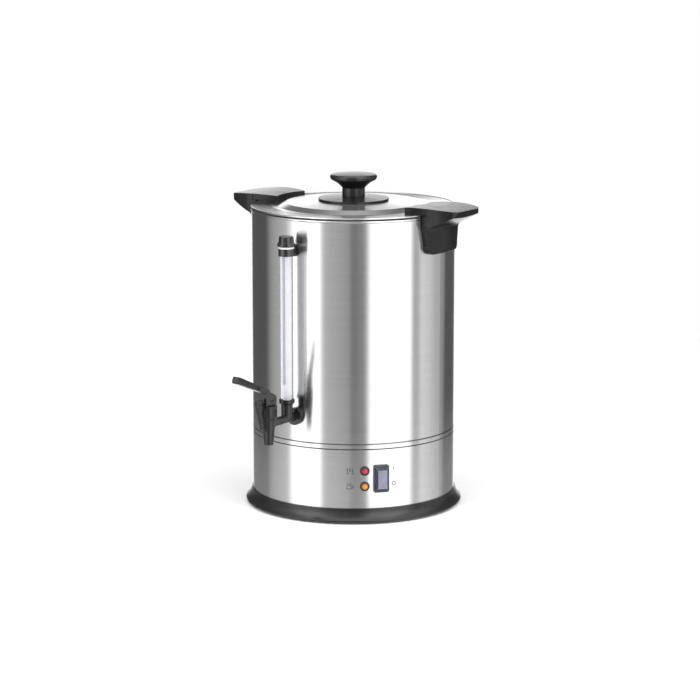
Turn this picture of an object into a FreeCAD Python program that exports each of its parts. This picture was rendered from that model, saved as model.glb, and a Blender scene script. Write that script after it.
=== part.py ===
import FreeCAD, Part
import math
import os

# Coffee urn: steel tank on a steel skirt and a plastic foot ring, with a lift-off lid, two
# side handles, a lever tap, a sight gauge on the tap's shank, lamps and a rocker switch, and
# inside it a heater with its controls and a lift-out percolator.
# Lengths are millimetres and angles degrees. The floor is z = 0 and the tank's axis is +Z.
# The tap points along -Y. An azimuth of 0 is the tap's side, and 90 is +X.
# Each piece is shaped about the tank's axis, and is then moved back with it, so that x = y = 0
# is under the middle of the whole depth, from the lever's tip to the back of the foot ring.

# Working allowances: how far a cutting tool or a joined end runs past a face, how far a tool
# reaches through a wall, how deep a piece is blocked out behind the wall, spare on blanks, and
# the number of arcs in the section of a rolled rim
PAST = 1.0
THROUGH = 12.0
BACKING = 4.0
BLANK = 10.0
RING_ARCS = 8

# How far the tank's axis stands behind the middle of the whole depth
AXIS_BACK = 59.78

# Tank and rolled rim
TANK_R = 130.0
SHEET = 0.8
TANK_FLOOR_Z = 98.0
RIM_Z = 380.8
BEAD_R = 1.6
BEAD_PROUD = 1.2
WELL_R = 24.0
WELL_DEPTH = 9.0

# Seam between tank and skirt
SEAM_DROP = 4.0
SEAM_GAP = 0.7
SEAM_LAP = 2.5
SEAM_LINE_RISE = 6.4
SEAM_GROOVE = 0.45

# Foot ring, bottom plate and feet
RING_TOP_Z = 18.7
RING_TOP_PROUD = 1.2
RING_BASE_PROUD = 9.0
RING_WIDEST_Z = 4.6
RING_BOTTOM_Z = 1.5
RING_WALL = 3.2
RING_FLANGE = 3.0
RING_FLARE_IN = 0.35
RING_FLARE_UP = 0.45
RING_EDGE_W = 2.6
RING_EDGE_MID_IN = 0.7
RING_EDGE_MID_UP = 0.9
RING_WALL_LEAN = 1.5
RING_TOP_WALL = 1.0
RING_INNER_BACK = 24.0
RING_LEDGE_Z = 10.0
RING_LEDGE_W = 4.0
SKIRT_FLANGE_W = 11.0
PLATE_BACK = 16.0
PLATE_T = 1.0
FOOT_R = 9.0
FOOT_BACK = 5.0
FOOT_POCKET = 1.5
FOOT_COUNT = 4
FOOT_TURN = 20.0
BOSS_R = 5.0
BOSS_BACK = 7.5
PLATE_SCREW_BACK = 19.0
SCREW_SHANK_R = 2.0
SCREW_HEAD_R = 4.0
SCREW_HEAD_T = 1.2
PLATE_SCREW_HEAD_R = 3.0
BASE_SCREW_COUNT = 4
BOSS_TURN = 45.0
VENT_COUNT = 18
VENT_R = 3.0
VENT_BACK = 42.0

# Lid, seal and knob
LID_SEAT_H = 3.0
LID_HEM_R = 0.95
LID_HEM_PROUD = 1.15
LID_STEP_BACK = 33.0
LID_RAISED_BACK = 44.0
LID_RISE = 4.2
LID_CROWN = 2.3
LID_CROWN_R = 46.0
LID_SPIGOT_CLEAR = 1.9
LID_SPIGOT_DROP = 9.0
GASKET_T = 1.0
GASKET_PROUD = 0.2
SEAL_GAP = 0.3
KNOB_FLANGE_R = 45.0
KNOB_FLANGE_EDGE = 2.6
KNOB_FLANGE_CONE = 2.0
KNOB_FLANGE_CHAMFER = 1.0
KNOB_R = 30.0
KNOB_STEM_R = 14.5
KNOB_H = 34.3
KNOB_WIDEST_H = 29.7
KNOB_EDGE_R = 3.1
KNOB_UNDER_R = 26.8
KNOB_UNDER_H = 25.1
KNOB_BELLY_IN = 0.9
KNOB_BELLY_DROP = 2.8
KNOB_THROAT_R = 18.1
KNOB_THROAT_H = 19.3
KNOB_STEM_H = 15.7
KNOB_SCREW_R = 3.0
KNOB_SCREW_HEAD_R = 6.5
KNOB_SCREW_HEAD_T = 3.0
KNOB_WASHER_R = 9.5
KNOB_WASHER_T = 1.0
KNOB_SCREW_H = 21.7

# Handles on the tank and the lugs on the lid that line up with them
HANDLE_AZIMUTH = 90.0
GRIP_INNER_BACK = 28.4
GRIP_INNER_HALF = 30.9
GRIP_WAIST_BACK = 12.0
GRIP_WAIST_HALF = 36.5
GRIP_WIDEST_OUT = 9.0
GRIP_WIDEST_HALF = 38.35
GRIP_SHOULDER_OUT = 25.0
GRIP_SHOULDER_HALF = 35.3
GRIP_FRONT_OUT = 41.2
GRIP_FRONT_HALF = 19.5
GRIP_CORNER_OUT = 33.0
GRIP_CORNER_HALF = 32.4
GRIP_NOSE_OUT = 0.7
GRIP_NOSE_SIDE = 0.6
GRIP_CROWN_R = 297.6
GRIP_CROWN_BACK = 2.4
GRIP_CROWN_H = 11.87
LUG_OUT = 6.1
LUG_GAP = 0.4
HANDLE_SLOPE_OUT = 14.6
HANDLE_SLOPE_DROP = 11.3
HANDLE_SLOPE = 27.2
HANDLE_BEND_OUT = 1.2
HANDLE_BEND_UP = 5.2
HANDLE_FRONT_LEAN = 4.3
HANDLE_FRONT_DROP = 8.0
HANDLE_THICK = 8.4
HANDLE_NECK_DROP = 19.8
HANDLE_BOTTOM_DROP = 46.8
HANDLE_BOTTOM_ROUND = 2.0
HANDLE_SHOULDER_DROP = 8.8
HANDLE_HALF_TOP = 39.0
HANDLE_HALF_LOW = 33.0
HANDLE_LOW_DROP = 35.8
HANDLE_CORNER = 9.0
HANDLE_CORNER_IN = 0.3
HANDLE_CORNER_UP = 0.25
HANDLE_SCREW_DROP = 28.8
HANDLE_SCREW_V = 16.0
HANDLE_SCREW_R = 2.5
HANDLE_SCREW_COVER = 3.0
HANDLE_SCREW_HEAD_R = 4.5
HANDLE_SCREW_HEAD_T = 2.6
HANDLE_WASHER_R = 6.0
HANDLE_WASHER_T = 2.2
RIM_CLEAR = 0.6
WALL_CLEAR = 0.05
RIVET_R = 2.0
RIVET_HEAD_R = 3.6
RIVET_HEAD_T = 1.4
RIVET_DEPTH = 4.0
RIVET_V = 17.0
RIVET_BACK = 16.0
LUG_FLAT_BACK = 1.4

# Sight gauge
GAUGE_OUT = 19.3
GAUGE_TUBE_R = 8.2
GAUGE_TUBE_WALL = 1.6
GAUGE_BOTTOM_RISE = 21.4
GAUGE_NECK_R = 7.2
GAUGE_CUP_R = 9.7
GAUGE_CUP_H = 3.6
GAUGE_CUP_TAPER = 2.0
GAUGE_CUP_FLOOR = 1.0
BRACKET_DROP = 43.5
BRACKET_H = 9.1
BRACKET_R = 9.8
BRACKET_ARM_HALF = 4.5
BRACKET_PAD_R = 7.5
BRACKET_PAD_T = 2.4
BRACKET_SCREW_R = 2.0
BRACKET_SCREW_HEAD_R = 4.0
BRACKET_SCREW_HEAD_T = 2.2
BRACKET_SCREW_LEN = 5.0
GAUGE_RING_T = 2.3
GAUGE_RING_R = 9.6
CAP_FLANGE_R = 11.0
CAP_FLANGE_H = 4.8
CAP_FLANGE_EDGE = 0.6
CAP_R = 9.6
CAP_TOP_R = 8.95
CAP_H = 8.0
CAP_EDGE = 0.8
CAP_RIBS = 8
CAP_RIB_W = 3.0
CAP_GROOVE = 0.8
CAP_GROOVE_END = 1.4
CAP_PLUG_H = 7.0
PLUG_CLEAR = 0.3

# Tap
TAP_OUT = 58.4
SHANK_RISE = 34.6
SHANK_R = 5.3
SHANK_BORE_R = 3.2
SHANK_THREAD_R = 7.0
SHANK_THREAD_IN = 17.0
SHANK_NUT_R = 11.0
SHANK_NUT_T = 4.0
SEAL_T = 1.2
SEAL_R = 10.4
LOCK_NUT_AF = 22.0
LOCK_NUT_T = 6.0
JOINT_BACK = 17.4
SPIGOT_R = 4.4
SPIGOT_LEN = 5.0
COLLAR_NUT_R = 10.4
COLLAR_NUT_RISE = 8.9
COLLAR_RIBS = 10
COLLAR_RIB_W = 3.2
COLLAR_RIB_DEPTH = 0.9
COLLAR_RIB_END = 1.5
BARREL_TOP_RISE = 21.8
BARREL_R = 8.9
BARREL_TAPER_RISE = 5.4
SEAT_DROP = 8.6
SEAT_OUTER_R = 7.3
SPOUT_DROP = 25.6
SPOUT_R = 5.9
SPOUT_BORE_R = 4.4
SPOUT_EDGE_W = 0.4
SPOUT_EDGE_H = 0.6
CHAMBER_R = 6.1
FIN_T = 2.6
FIN_TOP_OUT = 28.5
FIN_TOP_RISE = 33.4
FIN_LOW_OUT = 15.9
FIN_LOW_DROP = 4.6
FIN_BACK = 3.5
FIN_FOOT = 0.9
FIN_STEP = 1.0
BONNET_PLUG_H = 6.0
BONNET_R = 10.2
BONNET_FLANGE = 1.6
RUNNING = 0.06
STEM_R = 1.3
STEM_HEAD_R = 2.0
STEM_HEAD_H = 4.0
CROSS_PIN_R = 0.9
CROSS_PIN_H = 5.2
PIN_SLOT_TRAVEL = 1.6
PIN_SLOT_CLEAR = 0.3
LEVER_GAP = 0.3
FULCRUM_R = 1.2
HUB_HALF = 4.45
HUB_BACK = 10.8
HUB_FRONT = 11.1
HUB_BACK_H = 9.7
HUB_SHOULDER_BACK = 8.4
HUB_SHOULDER_H = 12.1
HUB_CREST_BACK = 1.1
HUB_CREST_H = 15.7
HUB_TOP_OUT = 9.8
HUB_TOP_H = 19.7
HUB_NOSE_H = 15.7
HUB_SLOT_BACK = 4.5
HUB_SLOT_FRONT = 2.5
HUB_SLOT_H = 8.7
BLADE_TILT = 22.0
BLADE_LENGTH = 70.5
BLADE_DEPTH = 6.2
BLADE_TIP_DEPTH = 8.6
BLADE_HALF = 4.25
BLADE_RECESS = 1.2
BLADE_RIM = 1.6
BLADE_POCKET_START = 22.0
BLADE_OFFSET = 6.5
BLADE_ROOT_OUT = 6.4
BLADE_ROOT_H = 11.2
BLADE_NOSE_R = 2.6
CUP_R = 5.4
CUP_H = 15.0
CUP_GAP = 0.3
CUP_FLOOR = 2.0
CUP_NOSE_W = 2.0
CUP_NOSE_H = 3.0
CUP_TOP_W = 1.5
CUP_TOP_H = 2.0
SPRING_WIRE = 0.8
SPRING_R = 3.6
SPRING_TURNS = 5
SPRING_GAP = 0.1

# Lamps
LAMP_AZIMUTH = 39.8
RED_LAMP_Z = 66.8
AMBER_LAMP_Z = 47.1
LAMP_BEZEL_R = 6.1
LAMP_LENS_R = 4.5
LAMP_BEZEL_PROUD = 1.8
LAMP_LENS_PROUD = 3.4
LAMP_LENS_BACK = 2.0
LAMP_BODY_R = 4.5
LAMP_BODY_LEN = 18.0
LAMP_CLIP_R = 6.6
LAMP_CLIP_T = 1.6
LAMP_TAB_PITCH = 4.0
LAMP_TAB_T = 0.8
LAMP_TAB_W = 3.0

# Rocker switch under its splash boot
SWITCH_AZIMUTH = 49.0
SWITCH_Z = 56.4
BEZEL_W = 20.0
BEZEL_H = 35.0
BEZEL_PROUD = 2.2
BEZEL_CORNER = 2.5
HOUSING_W = 15.0
HOUSING_H = 28.0
HOUSING_DEPTH = 20.0
HOUSING_WALL = 1.4
HOUSING_BACK = 6.0
ROCKER_W = 8.6
ROCKER_H = 20.0
ROCKER_BACK = 1.0
ROCKER_FRONT = 3.0
ROCKER_DISH = 1.0
ROCKER_TILT = 8.0
ROCKER_HUB_R = 2.4
ROCKER_WINDOW_W = 5.6
ROCKER_WINDOW_H = 14.0
ROCKER_WINDOW_T = 0.8
BOOT_W = 18.6
BOOT_H = 33.0
BOOT_FRONT_W = 11.4
BOOT_FRONT_H = 23.6
BOOT_PROUD = 5.8
BOOT_WALL = 0.8
TAB_W = 4.8
TAB_T = 0.8
TAB_LEN = 7.0
TAB_PITCH = 8.0

# Mains inlet at the back
INLET_Z = 52.0
INLET_W = 27.0
INLET_H = 20.0
INLET_CAVITY_W = 24.0
INLET_CAVITY_H = 16.2
INLET_DEPTH = 16.0
INLET_BACK = 3.0
INLET_FLANGE_W = 50.0
INLET_FLANGE_H = 23.0
INLET_FLANGE_CORNER = 3.0
INLET_CAVITY_CORNER = 2.5
INLET_PROUD = 3.0
INLET_SCREW_PITCH = 40.0
INLET_SCREW_R = 1.6
INLET_SCREW_LEN = 5.0
INLET_SCREW_HEAD_R = 3.2
INLET_SCREW_HEAD_T = 1.4
INLET_PIN_W = 4.0
INLET_PIN_T = 2.0
INLET_PIN_PITCH = 7.0
INLET_PIN_OFFSET = 2.0
INLET_PIN_SHORT = 3.0

# Heater under the tank floor
HEATER_R = 80.0
HEATER_T = 6.0
HEATER_HOLE_R = 27.0
ELEMENT_RING_R = 54.0
ELEMENT_R = 4.0
WARM_RING_R = 37.0
WARM_R = 3.0
ELEMENT_SWEEP = 310.0
COLD_PIN_LEN = 16.0
COLD_PIN_R = 1.6
STUD_R = 2.5
STUD_CIRCLE_R = 68.0
STUD_LEN = 14.0
STUD_COUNT = 3
STUD_TURN = 30.0
NUT_AF = 8.0
NUT_T = 4.0
CUTOUT_R = 8.5
CUTOUT_CIRCLE_R = 69.5
CUTOUT_H = 9.0
CUTOUT_AZIMUTHS = (-30, 90)
CUTOUT_FLANGE_T = 3.0
CUTOUT_STEP = 1.2
FUSE_R = 2.2
FUSE_LEN = 14.0
FUSE_AZIMUTH = 210
FUSE_CLIP_W = 4.0
FUSE_CLIP_L = 8.8
BLOCK_L = 40.0
BLOCK_W = 18.0
BLOCK_H = 13.0
BLOCK_BACK = 75.0
BLOCK_WAYS = 3
BLOCK_PORT_R = 2.2
BLOCK_PORT_DEPTH = 6.0
BLOCK_PORT_Z = 5.0
BLOCK_SCREW_R = 2.4
BLOCK_SCREW_DEPTH = 3.0
WIRE_R = 1.3
WIRE_GAP = 0.5
WIRE_BEND_SHARE = 0.45
LEAD_FIRST_RUN = 10.0
LEAD_FIRST_DROP = 1.0
LEAD_MIDDLE_RUN = 15.0
LEAD_MIDDLE_DROP = 18.0
LEAD_MIDDLE_SPREAD = 0.9
LEAD_LOW_RUN = 14.0
LEAD_LOW_RISE = 7.0
LEAD_LAST_RUN = 12.0

# Percolator
PUMP_R = 6.0
PUMP_WALL = 0.8
PUMP_TOP_DROP = 8.8
PUMP_FOOT_R = 21.0
PUMP_FOOT_H = 7.5
PUMP_CONE_RISE = 14.0
PUMP_NECK_STEP = 1.0
PUMP_NECK_H = 8.0
PUMP_WEB_Z = 2.0
PUMP_WEB_W = 3.0
PUMP_HOLES = 6
PUMP_HOLE_R = 2.4
PUMP_HOLE_H = 0.9
PUMP_WASHER_R = 15.0
PUMP_WASHER_T = 0.8
BASKET_R = 78.0
BASKET_DROP = 112.8
BASKET_H = 84.0
BASKET_SHEET = 0.8
COLLAR_R = 11.0
COLLAR_T = 2.5
SLEEVE_R = 8.2
SLEEVE_BORE = 6.4
SLEEVE_H = 20.0
LIFT_GAP = 0.3
HOLE_R = 1.5
HOLE_RINGS = 4
HOLES_FIRST = 8
HOLES_MORE = 6
HOLES_TURN = 7
HOLES_MARGIN = 8.0
COVER_RIM = 4.0
COVER_SLEEVE_H = 8.0

ORIGIN = FreeCAD.Vector(0, 0, 0)
UP = FreeCAD.Vector(0, 0, 1)
OUT = FreeCAD.Vector(1, 0, 0)
SIDE = FreeCAD.Vector(0, 1, 0)
FAR = 400.0


def vec(x, y, z):
    return FreeCAD.Vector(x, y, z)


def cyl(radius, low, high, x=0.0, y=0.0):
    """Upright cylinder between two heights."""
    return Part.makeCylinder(radius, high - low, vec(x, y, low), UP)


def tube(outer, inner, low, high, x=0.0, y=0.0):
    """Upright tube between two heights."""
    return cyl(outer, low, high, x, y).cut(cyl(inner, low - PAST, high + PAST, x, y))


def rod(radius, inner_u, outer_u, v, z):
    """Cylinder lying along the outward direction."""
    return Part.makeCylinder(radius, outer_u - inner_u, vec(inner_u, v, z), OUT)


def wall_hole(radius, v, z):
    """Tool for a round hole through the wall, facing outward."""
    return rod(radius, TANK_R - THROUGH, TANK_R + THROUGH, v, z)


def wall_window(width, height, z):
    """Tool for a rectangular hole through the wall, facing outward."""
    return frame(width, height, 2 * THROUGH, TANK_R - THROUGH, z)


def crossbar(radius, half, u, z):
    """Cylinder lying sideways across the outward direction."""
    return Part.makeCylinder(radius, 2 * half, vec(u, -half, z), SIDE)


def block(u0, u1, v0, v1, z0, z1):
    return Part.makeBox(u1 - u0, v1 - v0, z1 - z0, vec(u0, v0, z0))


def turned(*points):
    """Solid of revolution about +Z from a closed outline of (radius, height) points."""
    corners = [vec(r, 0, z) for r, z in points]
    return turned_edges(Part.makePolygon(corners + corners[:1]).Edges)


def turned_edges(edges):
    """Solid of revolution about +Z from the edges of a closed outline in the XZ plane."""
    return Part.Face(Part.Wire(Part.__sortEdges__(edges))).revolve(ORIGIN, UP, 360)


def torus(ring_radius, wire_radius, z):
    """Ring of round section about +Z, its section drawn as RING_ARCS equal arcs."""
    step = 2 * math.pi / RING_ARCS
    edges = []
    for k in range(RING_ARCS):
        points = [vec(ring_radius + wire_radius * math.cos(t), 0, z + wire_radius * math.sin(t))
                  for t in (k * step, (k + 0.5) * step, (k + 1) * step)]
        edges.append(Part.Arc(*points).toShape())
    return turned_edges(edges)


def plate(points, half):
    """Sideways plate of an outline of (u, z) points, centred on v = 0."""
    corners = [vec(u, -half, z) for u, z in points]
    return Part.Face(Part.makePolygon(corners + corners[:1])).extrude(vec(0, 2 * half, 0))


def frame(width, height, depth_u, u, z, corner=0.0):
    """Box facing outward, from u inwards or outwards by depth_u, with rounded long edges."""
    low = min(u, u + depth_u)
    box = block(low, low + abs(depth_u), -width / 2, width / 2, z - height / 2, z + height / 2)
    if corner > 0:
        long_edges = [e for e in box.Edges if abs(e.tangentAt(e.FirstParameter).x) > 0.9]
        box = box.makeFillet(corner, long_edges)
    return box


def hexagon(across_flats, inner_u, outer_u, v, z):
    """Hexagonal bar lying along the outward direction."""
    radius = across_flats / math.sqrt(3)
    corners = []
    for turn in range(6):
        angle = math.radians(60 * turn)
        corners.append(vec(inner_u, v + radius * math.cos(angle), z + radius * math.sin(angle)))
    return Part.Face(Part.makePolygon(corners + corners[:1])).extrude(vec(outer_u - inner_u, 0, 0))


def hex_nut(across_flats, bore, low, high, x, y):
    """Upright hexagonal nut."""
    radius = across_flats / math.sqrt(3)
    corners = []
    for turn in range(6):
        angle = math.radians(60 * turn)
        corners.append(vec(x + radius * math.cos(angle), y + radius * math.sin(angle), low))
    bar = Part.Face(Part.makePolygon(corners + corners[:1])).extrude(vec(0, 0, high - low))
    return bar.cut(cyl(bore, low - PAST, high + PAST, x, y))


def at_azimuth(shape, azimuth):
    """Turn a shape drawn with its outward direction along +X to its azimuth on the urn."""
    moved = shape.copy()
    moved.rotate(ORIGIN, UP, azimuth - 90)
    return moved


def both_sides(shapes):
    """Copies of the shapes at the right handle and at the left one."""
    return [at_azimuth(shape, azimuth) for azimuth in (HANDLE_AZIMUTH, -HANDLE_AZIMUTH)
            for shape in shapes]


def polar(radius, azimuth):
    """Plan position at an azimuth on the urn."""
    angle = math.radians(azimuth - 90)
    return radius * math.cos(angle), radius * math.sin(angle)


def around(count, start=0.0):
    """Evenly spaced azimuths."""
    return [start + 360.0 * step / count for step in range(count)]


def wall_surface(radius, v):
    """Outward distance of a round wall at a sideways offset."""
    return math.sqrt(radius ** 2 - v ** 2)


def wire_path(points, radius):
    """Tube along straight runs joined by tangent arcs."""
    edges = []
    last = points[0]
    for before, corner, after in zip(points, points[1:], points[2:]):
        arrive = (corner - before).normalize()
        leave = (after - corner).normalize()
        turn = arrive.getAngle(leave)
        room = WIRE_BEND_SHARE * min(corner.distanceToPoint(before), corner.distanceToPoint(after))
        start = corner - arrive * room
        end = corner + leave * room
        bisector = (leave - arrive).normalize()
        bend = room / math.tan(turn / 2)
        centre = corner + bisector * (bend / math.cos(turn / 2))
        middle = centre - bisector * bend
        edges.append(Part.LineSegment(last, start).toShape())
        edges.append(Part.Arc(start, middle, end).toShape())
        last = end
    edges.append(Part.LineSegment(last, points[-1]).toShape())
    path = Part.Wire(edges)
    profile = Part.Wire(Part.makeCircle(radius, points[0], points[1] - points[0]))
    return path.makePipeShell([profile], True, False)


def save(name, *solids):
    shape = solids[0] if len(solids) == 1 else Part.makeCompound(list(solids))
    shape.translated(vec(0, AXIS_BACK, 0)).exportStep(os.path.join("parts", name + ".step"))


# Places taken from the tank's wall, its rim and its floor, the shank and the tap's axis
TANK_BORE = TANK_R - SHEET
RING_TOP_R = TANK_R + RING_TOP_PROUD
RING_BASE_R = TANK_R + RING_BASE_PROUD
RING_INNER_R = TANK_R - RING_INNER_BACK
PLATE_R = TANK_R - PLATE_BACK
FOOT_CIRCLE_R = TANK_R - FOOT_BACK
BOSS_CIRCLE_R = TANK_R - BOSS_BACK
PLATE_SCREW_CIRCLE_R = TANK_R - PLATE_SCREW_BACK
VENT_CIRCLE_R = TANK_R - VENT_BACK
LID_STEP_R = TANK_R - LID_STEP_BACK
LID_RAISED_R = TANK_R - LID_RAISED_BACK
GASKET_OUT = TANK_R + GASKET_PROUD
GRIP_INNER_R = TANK_R - GRIP_INNER_BACK
GRIP_WAIST_U = TANK_R - GRIP_WAIST_BACK
GRIP_WIDEST_U = TANK_R + GRIP_WIDEST_OUT
GRIP_SHOULDER_U = TANK_R + GRIP_SHOULDER_OUT
GRIP_FRONT_U = TANK_R + GRIP_FRONT_OUT
GRIP_CORNER_U = TANK_R + GRIP_CORNER_OUT
GRIP_CROWN_U = TANK_R - GRIP_CROWN_BACK
LUG_R = TANK_R + LUG_OUT
LUG_FLAT_R = TANK_R - LUG_FLAT_BACK
HANDLE_SLOPE_R = TANK_R + HANDLE_SLOPE_OUT
RIVET_U = TANK_R - RIVET_BACK
GAUGE_U = TANK_R + GAUGE_OUT
TAP_U = TANK_R + TAP_OUT
LID_SPIGOT_R = TANK_BORE - LID_SPIGOT_CLEAR
BLOCK_Y = TANK_R - BLOCK_BACK
LID_TOP_Z = RIM_Z + LID_SEAT_H
GRIP_CROWN_Z = RIM_Z + GRIP_CROWN_H
HANDLE_SLOPE_Z = RIM_Z - HANDLE_SLOPE_DROP
HANDLE_NECK_Z = RIM_Z - HANDLE_NECK_DROP
HANDLE_BOTTOM_Z = RIM_Z - HANDLE_BOTTOM_DROP
HANDLE_SHOULDER_Z = RIM_Z - HANDLE_SHOULDER_DROP
HANDLE_LOW_Z = RIM_Z - HANDLE_LOW_DROP
HANDLE_SCREW_Z = RIM_Z - HANDLE_SCREW_DROP
BRACKET_Z = RIM_Z - BRACKET_DROP
PUMP_TOP_Z = RIM_Z - PUMP_TOP_DROP
BASKET_Z = RIM_Z - BASKET_DROP
SEAM_Z = TANK_FLOOR_Z - SEAM_DROP
SHANK_Z = TANK_FLOOR_Z + SHANK_RISE
PUMP_CONE_Z = TANK_FLOOR_Z + PUMP_CONE_RISE
SEAM_LINE_Z = SEAM_Z + SEAM_LINE_RISE
SEAT_Z = SHANK_Z - SEAT_DROP
SPOUT_Z = SHANK_Z - SPOUT_DROP
BARREL_TAPER_Z = SHANK_Z + BARREL_TAPER_RISE
COLLAR_NUT_Z = SHANK_Z + COLLAR_NUT_RISE
BARREL_TOP_Z = SHANK_Z + BARREL_TOP_RISE
FIN_TOP_Z = SHANK_Z + FIN_TOP_RISE
FIN_LOW_Z = SHANK_Z - FIN_LOW_DROP
GAUGE_BOTTOM_Z = SHANK_Z + GAUGE_BOTTOM_RISE
JOINT_U = TAP_U - JOINT_BACK
FIN_TOP_U = TAP_U + FIN_TOP_OUT
FIN_LOW_U = TAP_U + FIN_LOW_OUT
HUB_SHOULDER_U = TAP_U - HUB_SHOULDER_BACK
HUB_CREST_U = TAP_U - HUB_CREST_BACK
HUB_TOP_U = TAP_U + HUB_TOP_OUT
BLADE_ROOT_U = TAP_U + BLADE_ROOT_OUT

# Places that several pieces share
BEAD_RING_R = TANK_R + BEAD_PROUD - BEAD_R
BEAD_Z = RIM_Z - BEAD_R
WELL_FLOOR_Z = TANK_FLOOR_Z - WELL_DEPTH
FLOOR_UNDER_Z = TANK_FLOOR_Z - SHEET
LID_UNDER_Z = LID_TOP_Z - SHEET
LID_HEM_RING_R = TANK_R + LID_HEM_PROUD - LID_HEM_R
LID_HEM_Z = RIM_Z + SEAL_GAP + GASKET_T + SEAL_GAP + LID_HEM_R
LID_HEM_TOP_Z = LID_HEM_Z + LID_HEM_R
LID_CENTRE_Z = LID_TOP_Z + LID_RISE + LID_CROWN
KNOB_TOP_Z = LID_CENTRE_Z + KNOB_H
KNOB_WIDEST_Z = LID_CENTRE_Z + KNOB_WIDEST_H
KNOB_UNDER_Z = LID_CENTRE_Z + KNOB_UNDER_H
KNOB_THROAT_Z = LID_CENTRE_Z + KNOB_THROAT_H
KNOB_STEM_TOP_Z = LID_CENTRE_Z + KNOB_STEM_H
KNOB_SCREW_DEPTH_Z = LID_CENTRE_Z + KNOB_SCREW_H
HANDLE_INNER_R = LUG_R + LUG_GAP
HANDLE_OUTER_R = TANK_R + HANDLE_THICK
HANDLE_LEDGE_Z = LID_HEM_TOP_Z + SEAL_GAP
LUG_UNDER_Z = HANDLE_LEDGE_Z + LUG_GAP
BRACKET_TOP_Z = BRACKET_Z + BRACKET_H
CAP_Z = BRACKET_TOP_Z + GAUGE_RING_T
CUP_TOP_Z = GAUGE_BOTTOM_Z + GAUGE_CUP_H
SHANK_FACE_U = TANK_R + SEAL_T
BONNET_TOP_Z = BARREL_TOP_Z + BONNET_FLANGE
HUB_BOTTOM_Z = BONNET_TOP_Z + LEVER_GAP
HUB_BACK_Z = HUB_BOTTOM_Z + HUB_BACK_H
HUB_SHOULDER_Z = HUB_BOTTOM_Z + HUB_SHOULDER_H
HUB_CREST_Z = HUB_BOTTOM_Z + HUB_CREST_H
HUB_TOP_Z = HUB_BOTTOM_Z + HUB_TOP_H
HUB_NOSE_Z = HUB_BOTTOM_Z + HUB_NOSE_H
HUB_SLOT_TOP_Z = HUB_BOTTOM_Z + HUB_SLOT_H
CROSS_PIN_Z = HUB_BOTTOM_Z + CROSS_PIN_H
BLADE_ROOT_Z = HUB_BOTTOM_Z + BLADE_ROOT_H
FULCRUM_U = TAP_U + HUB_FRONT - FULCRUM_R
FULCRUM_Z = HUB_BOTTOM_Z + FULCRUM_R
STEM_LOW_Z = SEAT_Z + CUP_GAP + CUP_FLOOR
HEATER_TOP_Z = FLOOR_UNDER_Z
HEATER_LOW_Z = HEATER_TOP_Z - HEATER_T
PLATE_TOP_Z = RING_BOTTOM_Z + RING_FLANGE + PLATE_T
PUMP_FOOT_Z = WELL_FLOOR_Z + LIFT_GAP
PUMP_FOOT_TOP_Z = PUMP_FOOT_Z + PUMP_FOOT_H
COLLAR_TOP_Z = BASKET_Z - LIFT_GAP
BASKET_TOP_Z = BASKET_Z + BASKET_H
COVER_Z = BASKET_TOP_Z + LIFT_GAP
SKIRT_LAP_R = TANK_BORE - SEAL_GAP
STUD_AZIMUTHS = around(STUD_COUNT, STUD_TURN)
BOSS_AZIMUTHS = around(BASE_SCREW_COUNT, BOSS_TURN)
FOOT_AZIMUTHS = around(FOOT_COUNT, FOOT_TURN)
PLATE_SCREW_AZIMUTHS = around(BASE_SCREW_COUNT)


def outside_wall(shape):
    """Shape with its back shaped to the outside of the steel wall."""
    return shape.cut(cyl(TANK_R, 0, RIM_Z))


def inside_wall(shape, low, high):
    """Part of a shape that lies against the inside of the steel wall."""
    return shape.common(cyl(TANK_BORE, low, high))


def wall_holes():
    """Tools that cut the holes through the tank wall."""
    tools = [at_azimuth(wall_hole(SHANK_THREAD_R, 0, SHANK_Z), 0),
             at_azimuth(wall_hole(BRACKET_SCREW_R, 0, BRACKET_Z + BRACKET_H / 2), 0)]
    for side in (-HANDLE_AZIMUTH, HANDLE_AZIMUTH):
        for v in (-HANDLE_SCREW_V, HANDLE_SCREW_V):
            tools.append(at_azimuth(wall_hole(HANDLE_SCREW_R, v, HANDLE_SCREW_Z), side))
    return tools


def make_tank():
    wall = tube(TANK_R, TANK_BORE, SEAM_Z + SEAM_GAP, BEAD_Z)
    bead = torus(BEAD_RING_R, BEAD_R, BEAD_Z)
    floor = turned(
        (WELL_R, TANK_FLOOR_Z), (TANK_BORE + SHEET / 2, TANK_FLOOR_Z),
        (TANK_BORE + SHEET / 2, FLOOR_UNDER_Z), (WELL_R + SHEET, FLOOR_UNDER_Z),
        (WELL_R + SHEET, WELL_FLOOR_Z - SHEET), (0, WELL_FLOOR_Z - SHEET),
        (0, WELL_FLOOR_Z), (WELL_R, WELL_FLOOR_Z))
    tank = wall.fuse([bead, floor])
    for azimuth in STUD_AZIMUTHS:
        x, y = polar(STUD_CIRCLE_R, azimuth)
        tank = tank.fuse(cyl(STUD_R, FLOOR_UNDER_Z - STUD_LEN, FLOOR_UNDER_Z + SHEET / 2, x, y))
    groove = torus(TANK_R + SEAM_GROOVE, 2 * SEAM_GROOVE, SEAM_LINE_Z)
    tank = tank.cut([groove] + wall_holes())
    save("tank_shell", tank.removeSplitter())


def lamp_places():
    return [RED_LAMP_Z, AMBER_LAMP_Z]


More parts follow.
